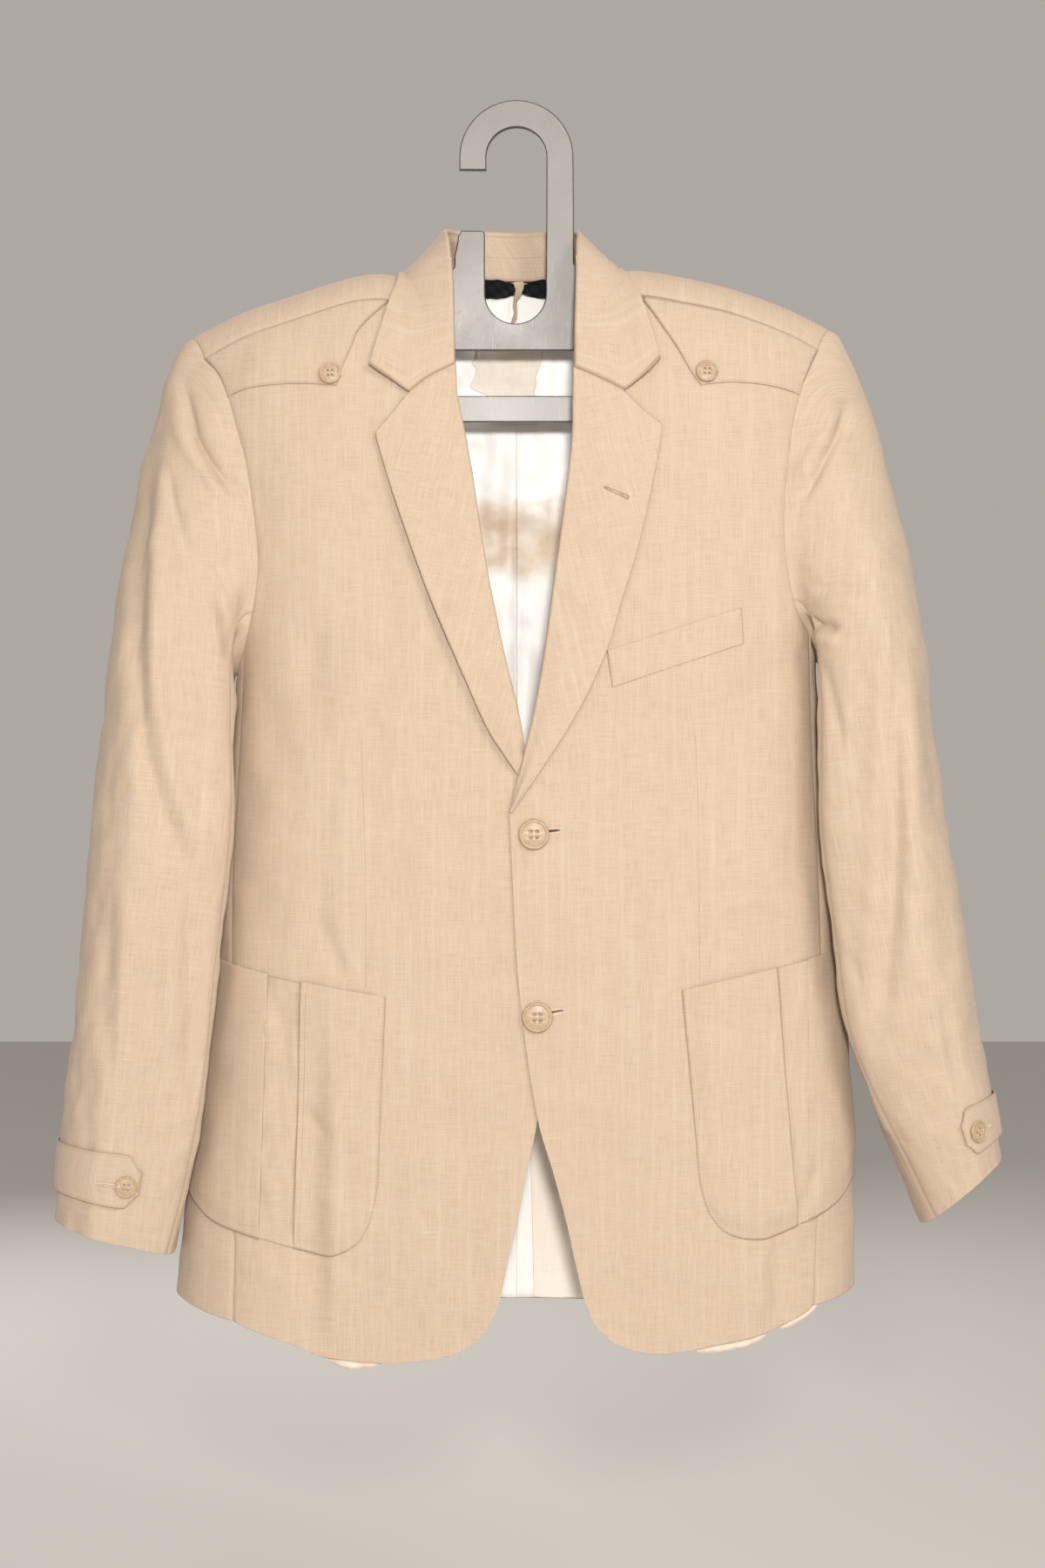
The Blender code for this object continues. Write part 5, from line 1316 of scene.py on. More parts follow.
def satin_folds(x, z):
    """Soft hanging folds of the lining, which always stay inside the cloth."""
    height = crumple(x * 1.6, z * 0.35, 51, 0.5, 20, 90) + crumple(x, z, 52, 0.2, 12, 40)
    height = np.minimum(height, 1.0) - 1.2 - 0.5 * np.exp(-(x / 1.8) ** 2)
    pull = 2.6 * np.exp(-((z + 262 + 0.25 * x) / 26) ** 2) * np.exp(-(x / 55) ** 2)
    tuck = 0.5 * np.sin((x * 0.5 + z) / 2.2) * np.exp(-((x - 12) / 9) ** 2) * np.exp(
        -((z + 375) / 26) ** 2)
    return (height - pull + tuck) * smoothstep((-118 - z) / 40)


def inside_back(flat, inset, own=0.0):
    """Places at an inset behind the folds of the back lining."""
    x, z = flat[..., 0], flat[..., 1]
    grid = on_form(x, z, BACK)
    return raised(grid, normals_of(grid, TO_BACK),
                  np.minimum(back_relief(x, z), 0) + satin_folds(x, z) - inset + own)


LINING_HEM = {
    RIGHT: ((-88, -888), (-96, -894), (-107, -897), (-122, -897), (-133, -893), (-143, -887),
            (-160, -880), (-196, -866)),
    LEFT: ((96, -879), (123, -881), (131, -886), (150, -884.5), (166, -881.5), (177, -877),
           (184, -869.5), (192, -871), (202, -867.5), (212, -862), (217, -856)),
}


def linings(satin, front_satin, cream):
    for side in (RIGHT, LEFT):
        u, v = spaced(50), 1 - (1 - spaced(100)) ** 1.7
        low = along(((0, -867), (side * 100, -865), (side * 200, -858)), u)
        high = along(((0, -113), (side * 40, -113.5), (side * 60, -125),
                      *((side * x, float(RIDGE.at(side * x, "z")) - drop)
                        for x, drop in ((130, 16), (196, 28)))), u)
        outer = along((low[-1], (side * 185, -600), (side * 178, -420), (side * 184, -300),
                       high[-1]), v)
        flat = between(low, high, along((low[0], high[0]), v), outer, u, v)
        cloth(f"back_lining_{SIDE_NAME[side]}", [inside_back(flat, LINING_INSET)], satin, TO_FRONT,
              wall=LINING_WALL)
    for side in (RIGHT, LEFT):
        u, v = spaced(30), spaced(40)
        low, high = along(LINING_HEM[side], u), along(((side * 84, -430), (side * 178, -430)), u)
        flat = between(low, high, along((low[0], high[0]), v), along((low[-1], high[-1]), v), u, v)
        x, z = flat[..., 0], flat[..., 1]
        curl = 0.9 * np.sin(x / 3.1 + z / 4) + 0.6 * np.sin(x / 1.7)
        grid, _ = front_grid(side, flat, curl * smoothstep((-872 - z) / 12) - FRONT_LINING_INSET)
        cloth(f"front_lining_{SIDE_NAME[side]}", [grid], front_satin, TO_BACK, wall=LINING_WALL)
    inner_piece("vent_facing", (13, -866.5), (62, -866.5), (8, -650), (54, -650), cream,
                4.4, (12, 50))


def inner_piece(name, a, b, c, d, material, inset, counts, own=None, sides=None,
                pinched=None):
    """A flat piece inside the back lining; a, b is its lower edge and c, d its top."""
    u, v = spaced(counts[0]), spaced(counts[1])
    first, last = sides or ((a, c), (b, d))
    flat = between(along((a, b), u), along((c, d), u), along(first, v), along(last, v), u, v)
    if pinched:
        at, least = pinched
        middle = flat[..., 1].mean(0)
        near = np.exp(-((flat[..., 0] - at) / 9) ** 2)
        flat[..., 1] = middle + (flat[..., 1] - middle) * (1 - (1 - least) * near)
    grid = inside_back(flat, inset, own(flat[..., 0], flat[..., 1]) if own else 0.0)
    cloth(name, [grid], material, TO_FRONT, wall=TRIM_WALL,
          shades=[seam_line(grid, "inner outer low high", 0.35, 0.5)])


def neck_trim(cream, facing, label):
    def frayed(x, z):
        return 0.25 * np.sin(x * 0.9) * np.sin(z * 0.5)

    def gathered(x, z):
        return (-1.4 * np.exp(-((x - 1.5) / 5) ** 2)
                + 0.7 * np.sin(x * 0.55) * np.sin(z * 0.7 + x * 0.2))

    torn_left = ((-20, -212), (-19, -194), (-22.5, -190), (-34.5, -184), (-32, -177), (-30.5, -170),
                 (-33.2, -166), (-30, -160), (-31, -150))
    torn_right = ((16, -212), (13.5, -190), (15.2, -181), (14.6, -176), (17.6, -168.5),
                  (19.4, -160), (20, -150))
    inner_piece("neck_patch", torn_left[0], torn_right[0], torn_left[-1], torn_right[-1], cream,
                4.6, (24, 60), own=frayed,
                sides=(torn_left, torn_right))
    inner_piece("neck_label", (-27, -118.5), (27, -118.5), (-27, -105), (27, -105), label,
                5.4, (60, 10), own=gathered,
                pinched=(2.2, 0.42))
    # the hanger loop: a narrow strip that twists on its way down
    share = np.linspace(0, 1, 40)
    flat = along(((1.5, -110), (0.8, -119), (-0.6, -127), (-2.4, -137), (-3.4, -142)), share)
    line = on_form(flat[:, 0], flat[:, 1], BACK)
    line[:, 1] -= 9.0 + 1.5 * np.sin(share * math.pi)
    line[:, 0] += 0.9 * np.sin(share * 11)
    wide = 7.0 - 4.2 * smoothstep(share / 0.6) + 0.5 * np.sin(share * 26)
    twist = np.radians(220 * share)
    across = np.stack([0.55 + 0.45 * np.abs(np.cos(twist)), np.sin(twist) * 0.5,
                       0.15 * np.sin(share * 19)], -1) * wide[:, None] / 2
    grid = np.stack([line + across * k for k in (-1, -0.8, -0.4, 0, 0.4, 0.8, 1)], 1)
    bm = bmesh.new()
    grid_mesh(bm, grid, own_lengths(grid), False)
    thicken(finish_piece(bm, "hanger_loop", facing, ["hanger_loop"]), 1.2)


# ---------------------------------------------------------------- buttons

def plate_of(outlines, depth, edge, segments):
    """A plate from outlines in its own plane, its edges rounded, as a mesh of one solid."""
    curve = bpy.data.curves.new("plate", "CURVE")
    curve.dimensions, curve.fill_mode = "2D", "BOTH"
    curve.extrude, curve.bevel_depth = (depth / 2 - edge) * MM, edge * MM
    curve.bevel_resolution, curve.offset = segments, -edge * MM
    for outline in outlines:
        spline = curve.splines.new("POLY")
        spline.points.add(len(outline) - 1)
        for point, (x, y) in zip(spline.points, outline):
            point.co = (x * MM, y * MM, 0, 1)
        spline.use_cyclic_u = True
    flat = placed("plate", curve)
    bpy.context.view_layer.update()
    mesh = bpy.data.meshes.new_from_object(
        flat.evaluated_get(bpy.context.evaluated_depsgraph_get()))
    bm = bmesh.new()
    bm.from_mesh(mesh)
    bmesh.ops.remove_doubles(bm, verts=bm.verts[:], dist=0.01 * MM)
    bmesh.ops.recalc_face_normals(bm, faces=bm.faces[:])
    bpy.data.objects.remove(flat)
    bpy.data.curves.remove(curve)
    bpy.data.meshes.remove(mesh)
    return bm


def circle(x, y, radius, count):
    turns = [2 * math.pi * k / count for k in range(count)]
    return [(x + radius * math.cos(a), y + radius * math.sin(a)) for a in turns]


def button(name, spot, diameter, thickness, horn, thread):
    """A turned four-hole button: a sunk middle with real holes, a raised rim, and its thread."""
    place, normal = spot
    r = diameter / 2
    hole_r, hole_at = r * 0.115, r * 0.195
    corners = [(x, y) for x in (-1, 1) for y in (-1, 1)]
    holes = [circle(x * hole_at, y * hole_at, hole_r, 14) for x, y in corners]
    bm = plate_of([circle(0, 0, r * 0.79, 44)] + holes, thickness * 0.55, 0.12, 1)
    bmesh.ops.translate(bm, verts=bm.verts[:], vec=(0, 0, thickness * 0.42 * MM))
    rim = bmesh.new()
    ring = [rim.verts.new((x * r * MM, 0, z * thickness * MM)) for x, z in RIM_PROFILE]
    edges = [rim.edges.new((a, b)) for a, b in zip(ring, ring[1:] + ring[:1])]
    bmesh.ops.spin(rim, geom=ring + edges, cent=(0, 0, 0), axis=(0, 0, 1), angle=2 * math.pi,
                   steps=48, use_merge=True)
    bmesh.ops.remove_doubles(rim, verts=rim.verts[:], dist=0.01 * MM)
    bmesh.ops.recalc_face_normals(rim, faces=rim.faces[:])
    merge(bm, rim)
    turn = Vector((0, 0, 1)).rotation_difference(Vector(normal)).to_matrix().to_4x4()
    seat = Matrix.Translation(Vector(place) * MM) @ turn
    bmesh.ops.transform(bm, matrix=seat, verts=bm.verts[:])
    finish_piece(bm, name, horn, [name])
    sewing = bmesh.new()
    for x in (-1, 1):
        for lean in (-0.25, 0.25):
            bead(sewing, (x * hole_at + lean * hole_r, 0, thickness * 0.73),
                 laid_on((0, 1, 0), (1, 0, 0), (0, 0, -1)), (hole_at * 0.95, 0.2, 0.2), seat,
                 (8, 8))
    for x, y in corners:
        shank = Matrix.Translation(Vector((x * hole_at, y * hole_at * 0.8, thickness * 0.22)) * MM)
        bmesh.ops.create_cone(sewing, cap_ends=True, segments=8, radius1=hole_r * 0.45 * MM,
                              radius2=hole_r * 0.45 * MM, depth=thickness * 0.5 * MM,
                              matrix=seat @ shank)
    finish_piece(sewing, f"{name}_thread", thread)


def form_spot(side, x, z, lift):
    """Place and normal on a front at one spot."""
    step = 2.0
    xs, zs = np.meshgrid([x - step, x, x + step], [z - step, z, z + step])
    grid, normal = front_grid(side, np.stack([xs, zs], -1), lift)
    return grid[1, 1], normal[1, 1]


def sleeve_spot(side, angle, z, lift):
    angles, heights = np.meshgrid([angle - 2, angle, angle + 2], [z - 2, z, z + 2])
    grid = sleeve_place(side, angles, heights)
    normal = normals_of(grid, TO_FRONT)
    return grid[1, 1] + normal[1, 1] * lift, normal[1, 1]


def buttons(horn, thread):
    large, small = (FRONT_BUTTON_D, FRONT_BUTTON_T), (SMALL_BUTTON_D, SMALL_BUTTON_T)
    for label, (x, z) in FRONT_BUTTONS.items():
        button(f"front_button_{label}", form_spot(LEFT, x, z, 1.0), *large, horn, thread)
    for side in (RIGHT, LEFT):
        button(f"shoulder_button_{SIDE_NAME[side]}", form_spot(side, *SHOULDER_BUTTON[side], 2.3),
               *small, horn, thread)
        button(f"cuff_button_{SIDE_NAME[side]}", sleeve_spot(side, *CUFF_BUTTON[side], 2.9),
               *small, horn, thread)


def buttonhole(name, start, end, dark, thread, width, open_to=0.45, eye=0.0):
    """A worked buttonhole: a slit inside a raised ring of thread, with an eye if it has one."""
    (start, normal), (end, _) = start, end
    length = np.linalg.norm(end - start)
    axis, up = Vector((end - start) / length), Vector(normal).normalized()
    seat = Matrix.Translation(Vector((start + end) / 2) * MM) @ laid_on(
        axis, up.cross(axis).normalized(), up)

    def rim(t):
        c, s = math.cos(t), math.sin(t)
        wide = 1 + eye * math.exp(-((c - 0.82) / 0.16) ** 2)
        return Vector((c * length / 2, math.copysign(abs(s) ** 0.6, s) * width / 2 * wide, 0.1))

    ring, slit, around = bmesh.new(), bmesh.new(), 44
    for k in range(around):
        p, q = (rim(2 * math.pi * (k + d) / around) for d in (0, 1))
        edge = (q - p).normalized()
        up = Vector((0, 0, 1))
        bead(ring, (p + q) / 2, laid_on(edge, up.cross(edge), up),
             ((q - p).length * 0.62, 0.5, 0.36), seat)
    # the slit is a flat dark bead: painted shade inside the cut
    bead(slit, (0, 0, 0), Matrix(), (length / 2 * 0.93, width / 2 * open_to, 0.16), seat, (20, 8))
    finish_piece(ring, f"{name}_edge", thread)
    finish_piece(slit, f"{name}_slit", dark)


def lapel_spot(x, z, lift):
    """Place and normal on the face of the left lapel."""
    grid, normal = LAPEL_FACE[LEFT]
    away = np.hypot(grid[..., 0] - x, grid[..., 2] - z)
    spot = np.unravel_index(np.argmin(away), away.shape)
    return np.array([x, grid[spot][1], z]) + normal[spot] * lift, normal[spot]


def buttonholes(dark, thread, sewing):
    for label, rise in (("top", 1.6), ("bottom", 3.6)):
        x, z = FRONT_BUTTONS[label]
        buttonhole(f"front_buttonhole_{label}", form_spot(LEFT, x + 2, z + 1.6, 0.8),
                   form_spot(LEFT, x + 19.5, z + 1.6 + rise, 0.8), dark, thread, 3.6)
    buttonhole("lapel_buttonhole", lapel_spot(62.8, -269.6, 1.0), lapel_spot(80.1, -277, 1.0),
               sewing, sewing, 2.0, 0.3, 0.9)
    for side in (RIGHT, LEFT):
        x, z = SHOULDER_BUTTON[side]
        buttonhole(f"shoulder_buttonhole_{SIDE_NAME[side]}",
                   form_spot(side, x - side * 9, z - 1, 2.0),
                   form_spot(side, x + side * 9, z + 1, 2.0), dark, thread, 1.4)
        angle, z = CUFF_BUTTON[side]
        buttonhole(f"cuff_buttonhole_{SIDE_NAME[side]}", sleeve_spot(side, angle + 4, z, 4.7),
                   sleeve_spot(side, angle + 17, z, 4.7), sewing, thread, 1.5)


# ---------------------------------------------------------------- hanger

PLATE_T, PLATE_EDGE = 6.0, 0.9
HOOK_Z, HOOK_OUTER_R, HOOK_INNER_R, HOOK_END_Z = -22.0, 41.8, 22.0, -31.4
STEM_X, POST_X, POST_TOP_Z, POST_ROUND = (21.7, 42.2), (-45.3, -23.0), -75.8, 3.0
SLOT_Z, SLOT_R, ARM_CLEAR = -121.5, 22.35, 3.8
ARM_END = {RIGHT: -222.0, LEFT: 214.0}
BAR_Z, ARM_CORNER = (-216.0, -196.8), 22.0
WINDOW_X, WINDOW_TOP, WINDOW_R = (-188.0, 181.0), -163.6, 12.0


def arc(x, z, radius, start, end, steps):
    turns = [math.radians(start + (end - start) * k / steps) for k in range(steps + 1)]
    return [(x + radius * math.cos(a), z + radius * math.sin(a)) for a in turns]


def arm_top(x):
    return float(RIDGE.at(x, "z")) - ARM_CLEAR


def arm_line(start, end):
    return [(float(x), arm_top(x)) for x in np.linspace(start, end, 28)]


def hanger_outline():
    stem_in, stem_out = STEM_X
    post_out, post_in = POST_X
    left_end, right_end = ARM_END[LEFT], ARM_END[RIGHT]
    corner_z = BAR_Z[0] + ARM_CORNER
    return [
        (-HOOK_OUTER_R, HOOK_END_Z), *arc(0, HOOK_Z, HOOK_OUTER_R, 180, 0, 48),
        (stem_out, -60), (stem_out, arm_top(stem_out + 4) + 6),
        *arm_line(stem_out + 6, left_end - 8), (left_end, arm_top(left_end) - 7),
        *arc(left_end - ARM_CORNER, corner_z, ARM_CORNER, 0, -90, 12),
        *arc(right_end + ARM_CORNER, corner_z, ARM_CORNER, -90, -180, 12),
        (right_end, arm_top(right_end) - 7), *arm_line(right_end + 8, post_out - 4),
        (post_out, arm_top(post_out - 4) + 5), (post_out, -94), (post_out + 1.8, -86),
        (post_out + 2.6, POST_TOP_Z - 4), (post_out + 5, POST_TOP_Z),
        *arc(post_in - POST_ROUND, POST_TOP_Z - POST_ROUND, POST_ROUND, 90, 0, 6),
        *arc((post_in + stem_in) / 2, SLOT_Z, SLOT_R, 180, 360, 36),
        *arc(0, HOOK_Z, HOOK_INNER_R, 0, 180, 36), (-HOOK_INNER_R, HOOK_END_Z),
    ]


def window_outline():
    r, (start, end) = WINDOW_R, WINDOW_X
    low, high = BAR_Z[1] + r, WINDOW_TOP - r
    corners = ((end - r, high, 90), (end - r, low, 0), (start + r, low, -90),
               (start + r, high, 180))
    return [place for x, z, turn in corners for place in arc(x, z, r, turn, turn - 90, 10)]


def hanger(plastic, edge_shade_plastic):
    bm = plate_of([hanger_outline(), window_outline()], PLATE_T, PLATE_EDGE, 2)
    bmesh.ops.rotate(bm, verts=bm.verts[:], cent=(0, 0, 0),
                     matrix=Matrix.Rotation(math.radians(90), 3, "X"))
    piece = finish_piece(bm, "hanger_plate", plastic, ["hanger"])
    piece.data.materials.append(edge_shade_plastic)
    # the side faces take the darker plastic: painted shade along the plate's edges
    for polygon in piece.data.polygons:
        at_edge = abs(polygon.normal.y) < 0.99
        polygon.use_smooth, polygon.material_index = at_edge, int(at_edge)


# ---------------------------------------------------------------- materials

def new_material(name, color, roughness, sockets=()):
    material = bpy.data.materials.new(name)
    material.use_nodes = True
    shader = material.node_tree.nodes["Principled BSDF"]
    for key, value in {"Base Color": (*color, 1), "Roughness": roughness, **dict(sockets)}.items():
        shader.inputs[key].default_value = value
    return material, material.node_tree, shader


def node(tree, kind, inputs=(), **settings):
    """A shader node; its inputs are values or the sockets that feed them."""
    made = tree.nodes.new(kind)
    for key, value in settings.items():
        setattr(made, key, value)
    for key, value in dict(inputs).items():
        if isinstance(value, bpy.types.NodeSocket):
            tree.links.new(value, made.inputs[key])
        else:
            made.inputs[key].default_value = value
    return made


def calc(tree, operation, *values):
    return node(tree, "ShaderNodeMath", dict(enumerate(values)), operation=operation).outputs[0]


def noise(tree, place, scale, detail, distortion=0.0, roughness=0.5):
    return node(tree, "ShaderNodeTexNoise", {
        "Vector": place, "Scale": scale, "Detail": detail, "Distortion": distortion,
        "Roughness": roughness}).outputs["Fac"]


def object_place(tree):
    return node(tree, "ShaderNodeTexCoord").outputs["Object"]


def weave_place(tree):
    return node(tree, "ShaderNodeUVMap", uv_map="weave").outputs["UV"]


def ramp(tree, value, start, end, low=0.0, high=1.0, curve="LINEAR"):
    """A value remapped from start..end to low..high."""
    return node(tree, "ShaderNodeMapRange", {
        "Value": value, "From Min": start, "From Max": end, "To Min": low, "To Max": high},
        interpolation_type=curve).outputs["Result"]


def streaks(tree, uv, across, down, detail=2.0):
    """Noise stretched into threads: cycles a metre across and down the cloth."""
    scaled = node(tree, "ShaderNodeMapping", {"Vector": uv, "Scale": (across, down, 1)})
    return noise(tree, scaled.outputs["Vector"], 1.0, detail, roughness=0.55)


def height_ramp(tree, start, end):
    """A factor that grows from 0 to 1 between two heights, in metres."""
    height = node(tree, "ShaderNodeSeparateXYZ", {0: object_place(tree)}).outputs["Z"]
    return ramp(tree, height, start, end, curve="SMOOTHSTEP")


def mixed(tree, low, high, factor, share=1.0, start=0.0, end=1.0):
    """Colour between low and high by a factor, remapped from start..end."""
    mix = node(tree, "ShaderNodeMix", {"Factor": ramp(tree, factor, start, end, 0.0, share)},
               data_type="RGBA")
    colors = [socket for socket in mix.inputs if socket.type == "RGBA"]
    for socket, value in zip(colors, (low, high)):
        if isinstance(value, tuple):
            socket.default_value = (*value, 1)
        else:
            tree.links.new(value, socket)
    return [socket for socket in mix.outputs if socket.type == "RGBA"][0]


def summed(tree, *terms):
    """Sum of (socket, weight) terms."""
    total = 0.0
    for socket, weight in terms:
        total = calc(tree, "MULTIPLY_ADD", socket, weight, total)
    return total


def finished(tree, shader, color, height, strength, distance):
    """Gives a shader its colour and its fine relief."""
    bump = node(tree, "ShaderNodeBump",
                {"Height": height, "Strength": strength, "Distance": distance})
    tree.links.new(color, shader.inputs["Base Color"])
    tree.links.new(bump.outputs["Normal"], shader.inputs["Normal"])


def weave_height(tree, uv, threads):
    """Over-and-under of a plain weave, threads to the metre."""
    split = node(tree, "ShaderNodeSeparateXYZ", {0: uv})
    waves = [calc(tree, "SINE", calc(tree, "MULTIPLY", split.outputs[axis], threads * math.pi))
             for axis in ("X", "Y")]
    return calc(tree, "MULTIPLY", *waves)


def linen_material(name, ground, light, dark):
    material, tree, shader = new_material(name, ground, 0.86, {
        "Sheen Weight": 0.12, "Sheen Roughness": 0.55, "Specular IOR Level": 0.2})
    uv = weave_place(tree)
    warp, weft = streaks(tree, uv, 1500, 55), streaks(tree, uv, 55, 1500)
    color = mixed(tree, dark, ground, summed(tree, (warp, 0.5), (weft, 0.5)), 0.8, 0.36, 0.56)
    # thick threads both ways, and long ones down the cloth
    for across, down, share, start, end in ((900, 26, 0.34, 0.60, 0.76),
                                            (26, 900, 0.42, 0.62, 0.78),
                                            (260, 7, 0.22, 0.50, 0.70)):
        color = mixed(tree, color, light, streaks(tree, uv, across, down), share, start, end)
    color = mixed(tree, color, dark, streaks(tree, uv, 14, 6, 3), 0.14, 0.48, 0.72)
    # painted shade: the cloth darkens along seams, folds and standing edges, by the seam layer's
    # share
    seam = node(tree, "ShaderNodeAttribute", attribute_name="seam").outputs["Fac"]
    color = mixed(tree, color, SEAM_SHADE, seam, 0.62)
    height = summed(tree, (warp, 0.7), (weft, 0.7), (weave_height(tree, uv, 1500), 0.35))
    finished(tree, shader, color, height, 0.35, 0.0003)
    return material


def satin_material(name, darker_from, darker_to):
    material, tree, shader = new_material(name, (0.93, 0.91, 0.87), 0.42, {
        "Specular IOR Level": 0.5, "Sheen Weight": 0.15})
    uv = weave_place(tree)
    warp, cloud = streaks(tree, uv, 1400, 30), streaks(tree, uv, 16, 8, 3)
    color = mixed(tree, (0.92, 0.90, 0.86), (0.97, 0.96, 0.94), warp, 1.0, 0.3, 0.6)
    # painted shade: a warm beige band across the back, where the satin would turn from the light
    band = calc(tree, "MULTIPLY", height_ramp(tree, -0.245, -0.296),
                height_ramp(tree, -0.350, -0.300))
    painted_beige_shade = summed(tree, (band, 0.56), (streaks(tree, uv, 30, 42, 3), 0.75))
    color = mixed(tree, color, (0.58, 0.40, 0.23), painted_beige_shade, 0.9, 0.56, 0.95)
    # painted shade: soft beige patches, as in the satin's hollows; the same noise also gives the
    # bump
    color = mixed(tree, color, (0.80, 0.71, 0.60), cloud, 0.25, 0.5, 0.75)
    # darker and browner towards the hem
    color = mixed(tree, color, (0.66, 0.50, 0.38), height_ramp(tree, darker_from, darker_to), 0.85)
    finished(tree, shader, color, summed(tree, (warp, 0.3), (cloud, 1.0)), 0.15, 0.0006)
    return material


def horn_material():
    material, tree, shader = new_material("horn", (0.42, 0.30, 0.19), 0.42, {
        "Specular IOR Level": 0.35, "Coat Weight": 0.12, "Coat Roughness": 0.3})
    place = object_place(tree)
    color = mixed(tree, (0.37, 0.255, 0.155), (0.47, 0.345, 0.23),
                  noise(tree, place, 140.0, 4.0, 2.2), 1.0, 0.3, 0.7)
    finished(tree, shader, color, noise(tree, place, 1500.0, 2.0), 0.08, 0.0002)
    return material


def plastic_material(name, low, high):
    material, tree, shader = new_material(name, low, 0.38, {"Specular IOR Level": 0.5})
    place = object_place(tree)
    flow = noise(tree, place, 14.0, 5.0, 0.3)
    wear = noise(tree, place, 160.0, 6.0, 0.8)
    stretched = node(tree, "ShaderNodeMapping", {
        "Vector": place, "Rotation": (0.3, 0.2, 0.9), "Scale": (900, 30, 60)})
    scratch = noise(tree, stretched.outputs["Vector"], 1.0, 3.0)
    color = mixed(tree, low, high, flow, 1.0, 0.35, 0.62)
    color = mixed(tree, color, low, wear, 0.6, 0.58, 0.74)
    color = mixed(tree, color, (0.52, 0.50, 0.49), scratch, 0.7, 0.62, 0.76)
    # painted light: a gradient of reflected light, darker towards the hook and paler on the trouser
    # bar
    color = mixed(tree, color, low, height_ramp(tree, -0.15, -0.075), 0.8)
    color = mixed(tree, color, tuple(1.2 * c for c in high), height_ramp(tree, -0.172, -0.205),
                  0.55)
    tree.links.new(ramp(tree, flow, 0.0, 1.0, 0.34, 0.56), shader.inputs["Roughness"])
    finished(tree, shader, color, scratch, 0.06, 0.0004)
    return material


def fibre_material(name, low, high, specular, scale, detail, blend, relief, depth):
    """Thread or dark cloth in two tones, which mix over the span of fine noise that blend gives."""
    material, tree, shader = new_material(name, low, 0.7, {"Specular IOR Level": specular})
    fine = noise(tree, object_place(tree), scale, detail)
    finished(tree, shader, mixed(tree, low, high, fine, 1.0, *blend), fine, relief, depth)
    return material


def thread_material(name, low, high):
    return fibre_material(name, low, high, 0.5, 900.0, 2.0, (0.3, 0.7), 0.2, 0.0002)


def dark_material(name, low, high):
    return fibre_material(name, low, high, 0.15, 1400.0, 3.0, (0.35, 0.65), 0.3, 0.0003)


# ---------------------------------------------------------------- studio

VIEW_HEIGHT, CAMERA_PLACE = 0.558, (0.0045, -2.060, -0.481)    # height seen from 1 m away
LAMP_COLOR, LAMP_AIM = (1.0, 0.975, 0.94), Vector((0, 0, -0.45))
LAMPS = {    # place and size in metres, power in watts
    "key": ((0.10, -2.72, -0.04), 0.25, 60), "side": ((1.6, -2.1, 0.9), 1.1, 31),
    "fill": ((-1.2, -2.2, 0.0), 1.4, 6), "top": ((0.1, 0.2, 1.7), 1.8, 6),
    "behind": ((-0.6, 2.3, 0.6), 2.0, 30),
}
ROOM_COLOR, ROOM_LIGHT = (1.0, 0.94, 0.86, 1), 0.42
FLOOR_Z, FLOOR_HALF, FLOOR_COLOR = -1.22, 6, (0.60, 0.585, 0.56)


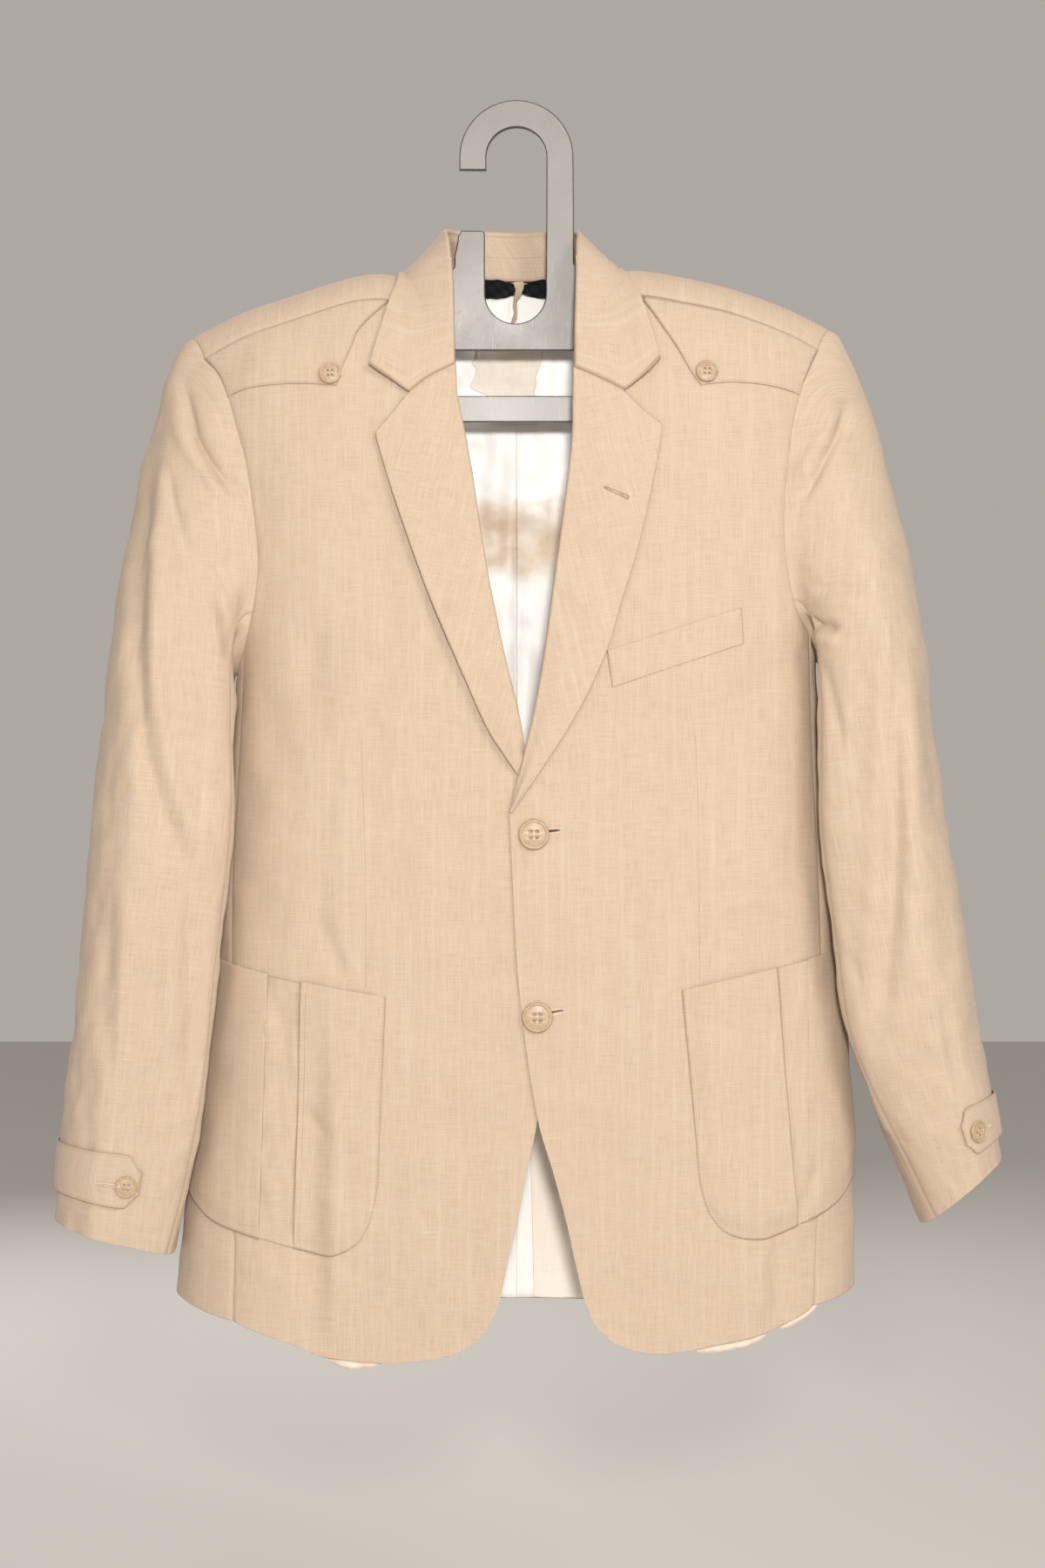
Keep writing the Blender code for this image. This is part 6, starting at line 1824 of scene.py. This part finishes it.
def studio():
    view = bpy.data.cameras.new("camera")
    view.sensor_fit, view.sensor_height = "VERTICAL", 24.0
    view.lens = view.sensor_height / VIEW_HEIGHT
    camera = placed("camera", view, CAMERA_PLACE)
    camera.rotation_euler = (math.radians(90), 0, 0)
    bpy.context.scene.camera = camera
    bpy.context.scene.view_settings.view_transform = "Standard"
    for name, (place, size, power) in LAMPS.items():
        lamp = bpy.data.lights.new(name, "AREA")
        lamp.shape, lamp.size, lamp.energy, lamp.color = "DISK", size, power, LAMP_COLOR
        aim = LAMP_AIM - Vector(place)
        placed(name, lamp, place).rotation_euler = aim.to_track_quat("-Z", "Y").to_euler()
    world = bpy.data.worlds.new("studio")
    world.use_nodes = True
    background = world.node_tree.nodes["Background"]
    background.inputs["Color"].default_value = ROOM_COLOR
    background.inputs["Strength"].default_value = ROOM_LIGHT
    bpy.context.scene.world = world
    bm = bmesh.new()
    bmesh.ops.create_grid(bm, x_segments=4, y_segments=4, size=FLOOR_HALF)
    bmesh.ops.translate(bm, verts=bm.verts[:], vec=(0, 0, FLOOR_Z))
    floor = placed("floor", mesh_of(bm, "floor", new_material("floor", FLOOR_COLOR, 0.8)[0]))


# ---------------------------------------------------------------- the whole

def build():
    studio()
    linen = linen_material("linen", (0.525, 0.408, 0.308), (0.605, 0.500, 0.400),
                           (0.445, 0.328, 0.235))
    facing = linen_material("facing", (0.50, 0.38, 0.28), (0.60, 0.48, 0.37), (0.40, 0.29, 0.20))
    cream = linen_material("cream", (0.93, 0.86, 0.78), (0.97, 0.93, 0.87), (0.87, 0.77, 0.66))
    satin = satin_material("satin", -0.866, -0.876)
    front_satin = satin_material("front_satin", -0.846, -0.862)
    # the sewing thread is dark: thread colour with painted shade of the stitch holes
    thread = thread_material("sewing_thread_and_hole_shade", (0.31, 0.22, 0.15), (0.40, 0.30, 0.205))
    pale = thread_material("buttonhole_thread", (0.60, 0.50, 0.41), (0.72, 0.62, 0.53))
    horn = horn_material()
    label = dark_material("label", (0.004, 0.004, 0.005), (0.012, 0.012, 0.014))
    # near black for the buttonhole slits: painted shade inside the cuts
    dark = dark_material("slit", (0.05, 0.035, 0.02), (0.10, 0.07, 0.045))
    fronts(linen)
    side_panels(linen)
    backs(linen)
    sleeves(linen)
    cuff_tabs(linen)
    for side in (RIGHT, LEFT):
        pocket(side, linen)
        shoulder_patch(side, linen)
    breast_welt(linen)
    dart_lines()
    lapels(linen)
    collar(linen)
    linings(satin, front_satin, cream)
    neck_trim(cream, facing, label)
    buttons(horn, thread_material("button_thread", (0.50, 0.39, 0.28), (0.60, 0.49, 0.37)))
    buttonholes(dark, pale, thread)
    hanger(plastic_material("hanger_plastic", (0.19, 0.177, 0.168), (0.42, 0.395, 0.378)),
           plastic_material("hanger_edge_shade", (0.055, 0.05, 0.047), (0.10, 0.092, 0.086)))
    stitches(thread)


build()
